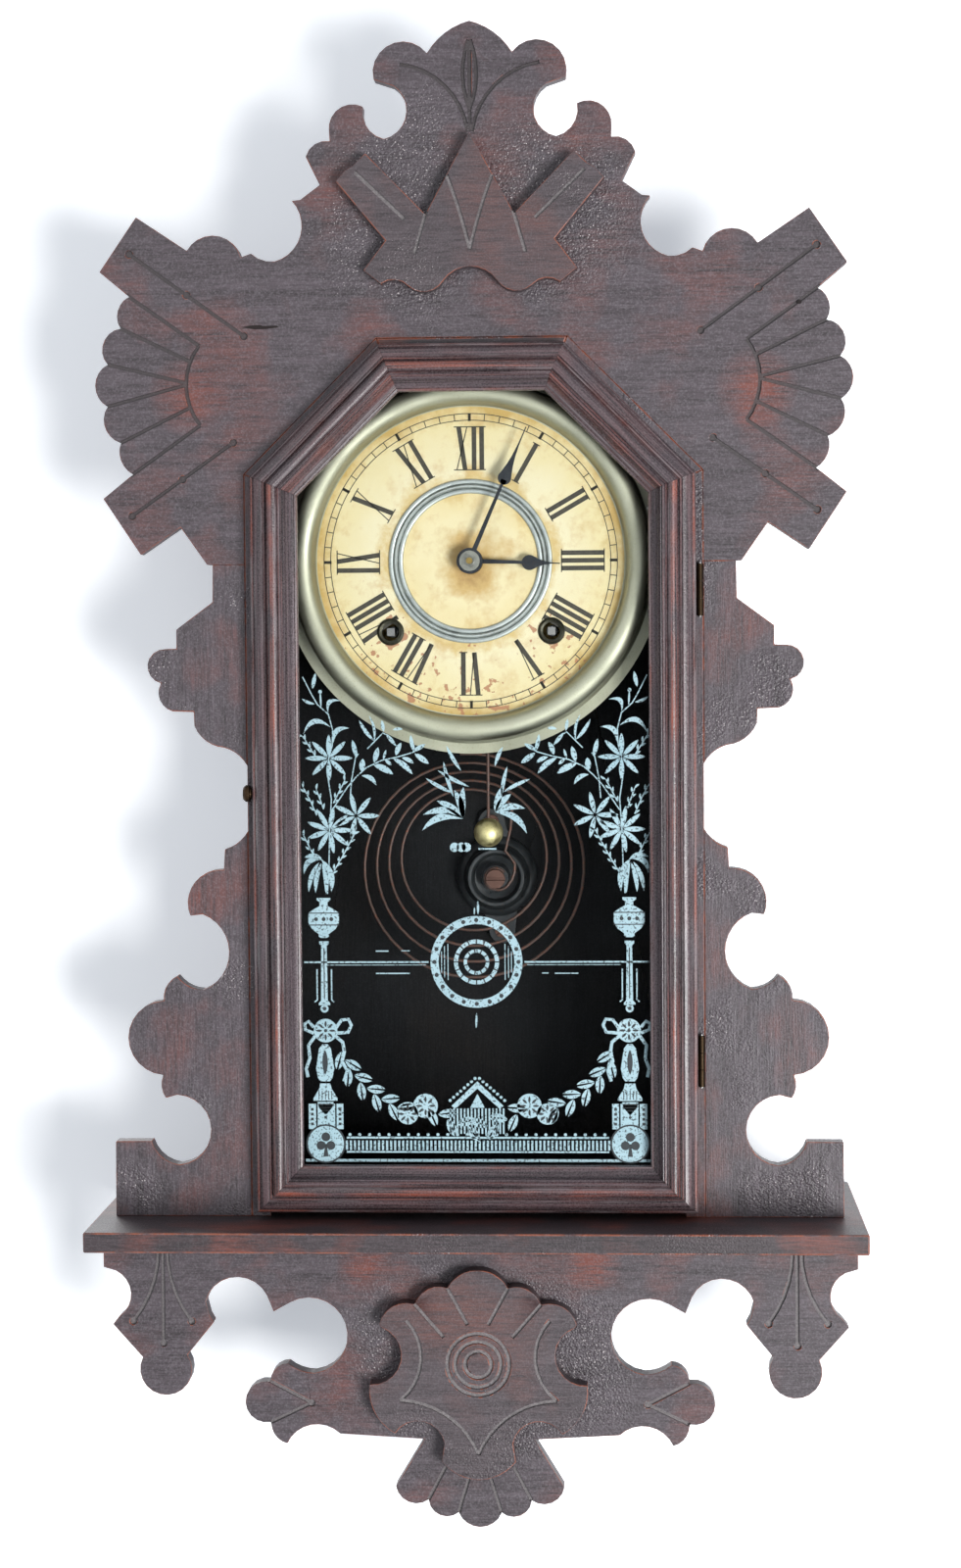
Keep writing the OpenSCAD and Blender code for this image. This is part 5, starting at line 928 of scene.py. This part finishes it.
# Swags of laurel from the bows to the gable, with rosettes.
laurel = stamp("laurel_stamp", to_scale([frond((0, 0.15), (8.6, 0.5), 1.7, 0.9),
                                         frond((0, -0.15), (8.6, -0.5), 1.7, -0.9)]), film)
swag = [(-63.5, 88.0), (-60.5, 80.5), (-54.0, 72.5), (-46.0, 66.0), (-37.5, 61.5)]
swag_low = [(-22.5, 61.0), (-16.0, 57.0), (-9.0, 53.6), (-4.5, 52.6)]
sprig("swags", laurel, 0.0042, 36, -36, both_sides([swag, swag_low]))
rosettes = [(-32.6, 58.6, 5.0), (-24.2, 62.4, 5.8)]
paint("rosettes", both_sides([disc(x, z, r, 28) for x, z, r in rosettes]))
petal_gap = stamp("petal_gap_stamp", to_scale([frond((0, 0), (3.0, 0), 1.1, 0)]), 2 * film)
for number, (x, z) in enumerate([(x, z) for x, z, r in rosettes] + [(urn_x + 0.4, rosette_z)]):
    round_both("rosette", number, petal_gap, 8, 1.6, x, z, clear_line)

# Sprays of star flowers, willow leaves and ears of wheat that rise from the urns. A leaf is
# given by its root, its tip, its width and its bow.
husk = stamp("husk_stamp", to_scale([frond((0, 0), (3.0, 0), 1.0, 0.2)]), film)
main_stem = [(-69.5, 162.5), (-68.6, 177.3), (-68.2, 192.4), (-67.2, 206.9), (-68.6, 216.2), (-68.2, 226.2),
             (-66.6, 232.0), (-66.3, 239.3), (-68.2, 246.7), (-73.3, 251.3), (-76.0, 256.0), (-80.2, 264.3)]
long_branch = [(-67.2, 201.4), (-59.4, 212.9), (-55.2, 217.6), (-50.6, 221.7), (-43.6, 225.0),
               (-35.3, 226.8), (-28.8, 228.7), (-23.3, 232.4)]
short_branch = [(-58.4, 206.9), (-57.7, 215.7), (-55.7, 226.3), (-54.3, 228.2)]
high_twig = [(-50.1, 230.5), (-46.9, 233.7), (-42.7, 237.9), (-39.5, 236.0), (-36.7, 231.9)]
wheat = [[(-74.6, 227.3), (-80.4, 236.5)], [(-74.2, 199.5), (-77.4, 206.9), (-80.4, 212.5)],
         [(-70.9, 202.3), (-74.2, 211.5)], [(-66.3, 205.1), (-60.8, 215.7)],
         [(-67.2, 171.8), (-62.2, 180.1), (-55.7, 192.1)], [(-76.0, 181.0), (-80.4, 189.8)]]
sprig("wheat_ears", husk, 0.0021, 30, -30, both_sides(wheat))
pressed_lines("stems", both_sides([main_stem, long_branch, short_branch, high_twig] + wheat), 0.6)
branch_leaves = [((-46.9, 224.0), (-45.0, 231.2), 2.6, 0), ((-47.3, 223.1), (-38.1, 218.5), 3.0, 0.5),
                 ((-52.9, 218.0), (-46.0, 213.4), 2.2, 1.4), ((-52.9, 219.9), (-52.2, 225.9), 2.8, 0),
                 ((-38.1, 225.9), (-29.0, 218.5), 2.6, 0.8), ((-36.7, 227.3), (-34.2, 233.3), 2.4, 0.3),
                 ((-33.9, 226.3), (-28.4, 223.6), 2.0, 0.4), ((-27.9, 228.7), (-29.8, 237.0), 1.9, 0.3),
                 ((-27.9, 228.2), (-21.3, 223.4), 2.6, 0), ((-42.7, 225.4), (-41.3, 230.0), 1.2, 0),
                 ((-41.8, 225.4), (-38.8, 222.8), 1.6, 0), ((-28.8, 229.1), (-22.8, 232.6), 2.0, 0),
                 ((-55.2, 226.3), (-57.1, 234.7), 2.2, 0), ((-46.9, 234.2), (-53.8, 243.9), 1.8, 0.6),
                 ((-46.9, 233.7), (-49.2, 246.2), 1.2, -1.2), ((-42.3, 238.4), (-43.2, 243.9), 1.6, 0),
                 ((-41.3, 237.5), (-36.7, 231.9), 1.8, 0), ((-38.1, 239.3), (-33.5, 239.6), 1.4, 0.3)]
arching_leaves = [((-67.2, 240.7), (-80.2, 237.4), 2.4, -4.6), ((-68.3, 247.2), (-62.3, 253.0), 2.0, 3.4),
                  ((-66.0, 233.3), (-58.3, 240.2), 2.4, 3.2), ((-74.5, 251.6), (-80.6, 254.1), 1.4, 0.5),
                  ((-71.6, 249.9), (-72.0, 257.3), 0.9, 0), ((-75.6, 258.7), (-74.1, 266.0), 1.9, 0)]
drooping_leaves = [((-72.3, 178.7), (-67.7, 163.4), 3.0, 2.2), ((-71.9, 176.9), (-70.2, 162.5), 2.4, 1.0),
                   ((-72.3, 176.9), (-75.1, 163.0), 2.2, -0.8), ((-73.3, 177.3), (-78.3, 163.4), 2.2, -1.2),
                   ((-72.3, 178.7), (-80.5, 171.8), 2.6, -3.0), ((-71.4, 178.2), (-80.4, 179.6), 2.4, -1.5)]
paint("leaves", both_sides([frond(*leaf) for leaf in branch_leaves + arching_leaves + drooping_leaves]
                           + [disc(-72.0, 257.3, 0.9, 12)]))
star = stamp("star_petal_stamp", to_scale([frond((0, 0.1), (10.4, 0.1), 1.2, 0.5),
                                           frond((0, -0.1), (10.4, -0.1), 1.2, -0.5)]), film)
for number, (x, z, petals) in enumerate([(-68.2, 226.2, 8), (-55.7, 199.1, 7), (-68.2, 192.4, 9)]):
    round_both("star_flower", number, star, petals, 0.7, x, z, transfer)

# The palm behind the ball, on its small mound.
palm_left, palm_right = (-5.4, 197.5), (9.6, 200.5)
left_tips = (((-24.7, 192.1), -3.6), ((-24.2, 199.5), -3.0), ((-17.7, 206.0), -1.2), ((-9.4, 211.0), -0.8),
             ((-5.2, 212.4), 0.6))
right_tips = (((24.4, 190.4), 3.2), ((23.6, 202.2), 1.8), ((17.0, 209.0), 0.8), ((13.0, 212.5), 0.4))
high_leaves = (((-9.9, 207.8), (-14.5, 224.5)), ((-10.3, 209.7), (-22.8, 216.6)), ((-2.5, 212.5),
               (-17.3, 220.3)), ((-6.2, 219.9), (-13.1, 231.9)), ((12.6, 208.0), (15.4, 222.0)),
               ((13.6, 210.0), (26.0, 216.0)), ((9.6, 222.0), (13.4, 231.2)))
paint("palm", in_place([frond(palm_left, tip, 3.3, sag) for tip, sag in left_tips]
      + [frond(palm_right, tip, 3.1, sag) for tip, sag in right_tips]
      + [frond(root, tip, 1.8, 0.4) for root, tip in high_leaves]
      + [disc(x, 184.2, 2.2, 14) for x in (-9.6, -6.4, -4.0)] + [block(1.6, 10.0, 183.0, 183.8)]))
for used in stamps:
    bpy.data.objects.remove(used)

# ---- Hinges, catch and keeper ----
# Two pressed brass butt hinges on loose pins, a turned catch knob on its spindle with a
# tongue behind the stile, and a brass pin in the case that the tongue hooks on.
# The hinge leaves and the keeper are given a near-black brass colour.
hinge_brass = worn_metal("near_black_hinge_brass", "#211b16", "#3a2e20", 0.45)
knob_brass = worn_metal("dark_antique_brass", "#2a211a", "#483726", 0.4)
for leaf in ("door_hinge_leaves", "case_hinge_leaves", "catch_keeper"):
    dressed(leaf, [hinge_brass], 0.00015)
dressed("hinge_pins", [plain_steel])
dressed("catch_knob", [knob_brass], 0.0003)

# ---- Room ----
# A white wall behind the clock and a pale floor well below it, lit softly from the right.
# The wall lets the back of the clock be seen and lit, as if it weren't there from behind.
plane_glow = 0.34


def seen_ray(tree):
    """A light path node, and 1 on rays that see the room straight, through glass or in a shine."""
    ray = add(tree, "ShaderNodeLightPath")
    clear = add(tree, "ShaderNodeMath", {0: ray.outputs["Is Camera Ray"],
                                         1: ray.outputs["Is Transmission Ray"]}, operation="MAXIMUM")
    return ray, add(tree, "ShaderNodeMath", {0: clear, 1: ray.outputs["Is Glossy Ray"]},
                    operation="MAXIMUM")


def pale_plane(name, corners, tint):
    """A stage plane that shows only its front."""
    mesh = bpy.data.meshes.new(name)
    mesh.from_pydata(corners, [], [(0, 1, 2, 3)])
    plane = placed(name, mesh)
    material, tree, shader, mm = finish(name + "_paint")
    wash = mottled(tree, mm, 900, tint, "#ffffff")
    ray, seen = seen_ray(tree)
    glow = add(tree, "ShaderNodeMath", {0: seen, 1: plane_glow}, operation="MULTIPLY")
    feed(shader, {"Base Color": wash, "Roughness": 0.9, "Specular IOR Level": 0.1,
                  "Emission Color": colour("#e6f0fb"), "Emission Strength": glow})
    back = add(tree, "ShaderNodeNewGeometry")
    soft = add(tree, "ShaderNodeMath", {0: ray.outputs["Is Shadow Ray"], 1: ray.outputs["Is Diffuse Ray"]},
               operation="MAXIMUM")
    away = add(tree, "ShaderNodeMath", {0: soft, 1: back.outputs["Backfacing"]}, operation="MAXIMUM")
    nothing = add(tree, "ShaderNodeBsdfTransparent")
    mixed = add(tree, "ShaderNodeMixShader", {0: away, 1: shader, 2: nothing})
    feed(tree.nodes["Material Output"], {"Surface": mixed})
    mesh.materials.append(material)
    plane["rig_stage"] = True


room, wall_gap, floor_drop = 5.0, 0.001, 0.25
wall_y, floor_z = cad_high.y + wall_gap, cad_low.z - floor_drop
pale_plane("wall", [(-room, wall_y, -room), (room, wall_y, -room), (room, wall_y, room),
                    (-room, wall_y, room)], "#fbfcfd")
pale_plane("floor", [(-room, -room, floor_z), (room, -room, floor_z), (room, room, floor_z),
                     (-room, room, floor_z)], "#eef0f1")

world = bpy.data.worlds.new("soft_white_room")
bpy.context.scene.world = world
world.use_nodes = True
ray, seen = seen_ray(world.node_tree)
level = add(world.node_tree, "ShaderNodeMapRange", {"Value": seen, "To Min": 0.4, "To Max": 1.0})
feed(world.node_tree.nodes["Background"], {"Strength": level, "Color": colour("#f6f9ff")})

clock_middle = Vector((0, 0, -0.25))
for name, place, size, power in (("key_window", (1.7, -2.7, -0.95), 1.1, 122.0),
                                 ("fill_window", (-1.2, -2.2, 0.5), 1.5, 9.0),
                                 ("back_window", (-1.2, 2.4, 0.8), 1.5, 70.0)):
    lamp = bpy.data.lights.new(name, "AREA")
    lamp.shape, lamp.size, lamp.energy = "SQUARE", size, power
    stand = placed(name, lamp)
    stand.location = place
    stand.rotation_euler = (clock_middle - Vector(place)).to_track_quat("-Z", "Y").to_euler()

# The camera stands 1.44 m in front of the wall, a little right of the clock, looking slightly left.
eye = (0.0717, -1.44, -0.1554)
tilt, swing, roll = math.radians(2.835), math.radians(2.926), math.radians(-0.428)
view = (Matrix.Rotation(roll, 3, "Z") @ Matrix.Rotation(tilt, 3, "X") @ Matrix.Rotation(swing, 3, "Y")
        @ Matrix(((1, 0, 0), (0, 0, -1), (0, 1, 0))))
camera = bpy.data.cameras.new("photo_camera")
camera.sensor_width, camera.lens = 36.0, 66.43
camera.clip_start, camera.clip_end = 0.05, 50.0
stand = placed("photo_camera", camera)
aim = Matrix((view[0], -view[1], -view[2])).transposed().to_4x4()
stand.matrix_world = Matrix.Translation(eye) @ aim
bpy.context.scene.camera = stand
bpy.context.scene.view_settings.view_transform = "Standard"

low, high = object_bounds()
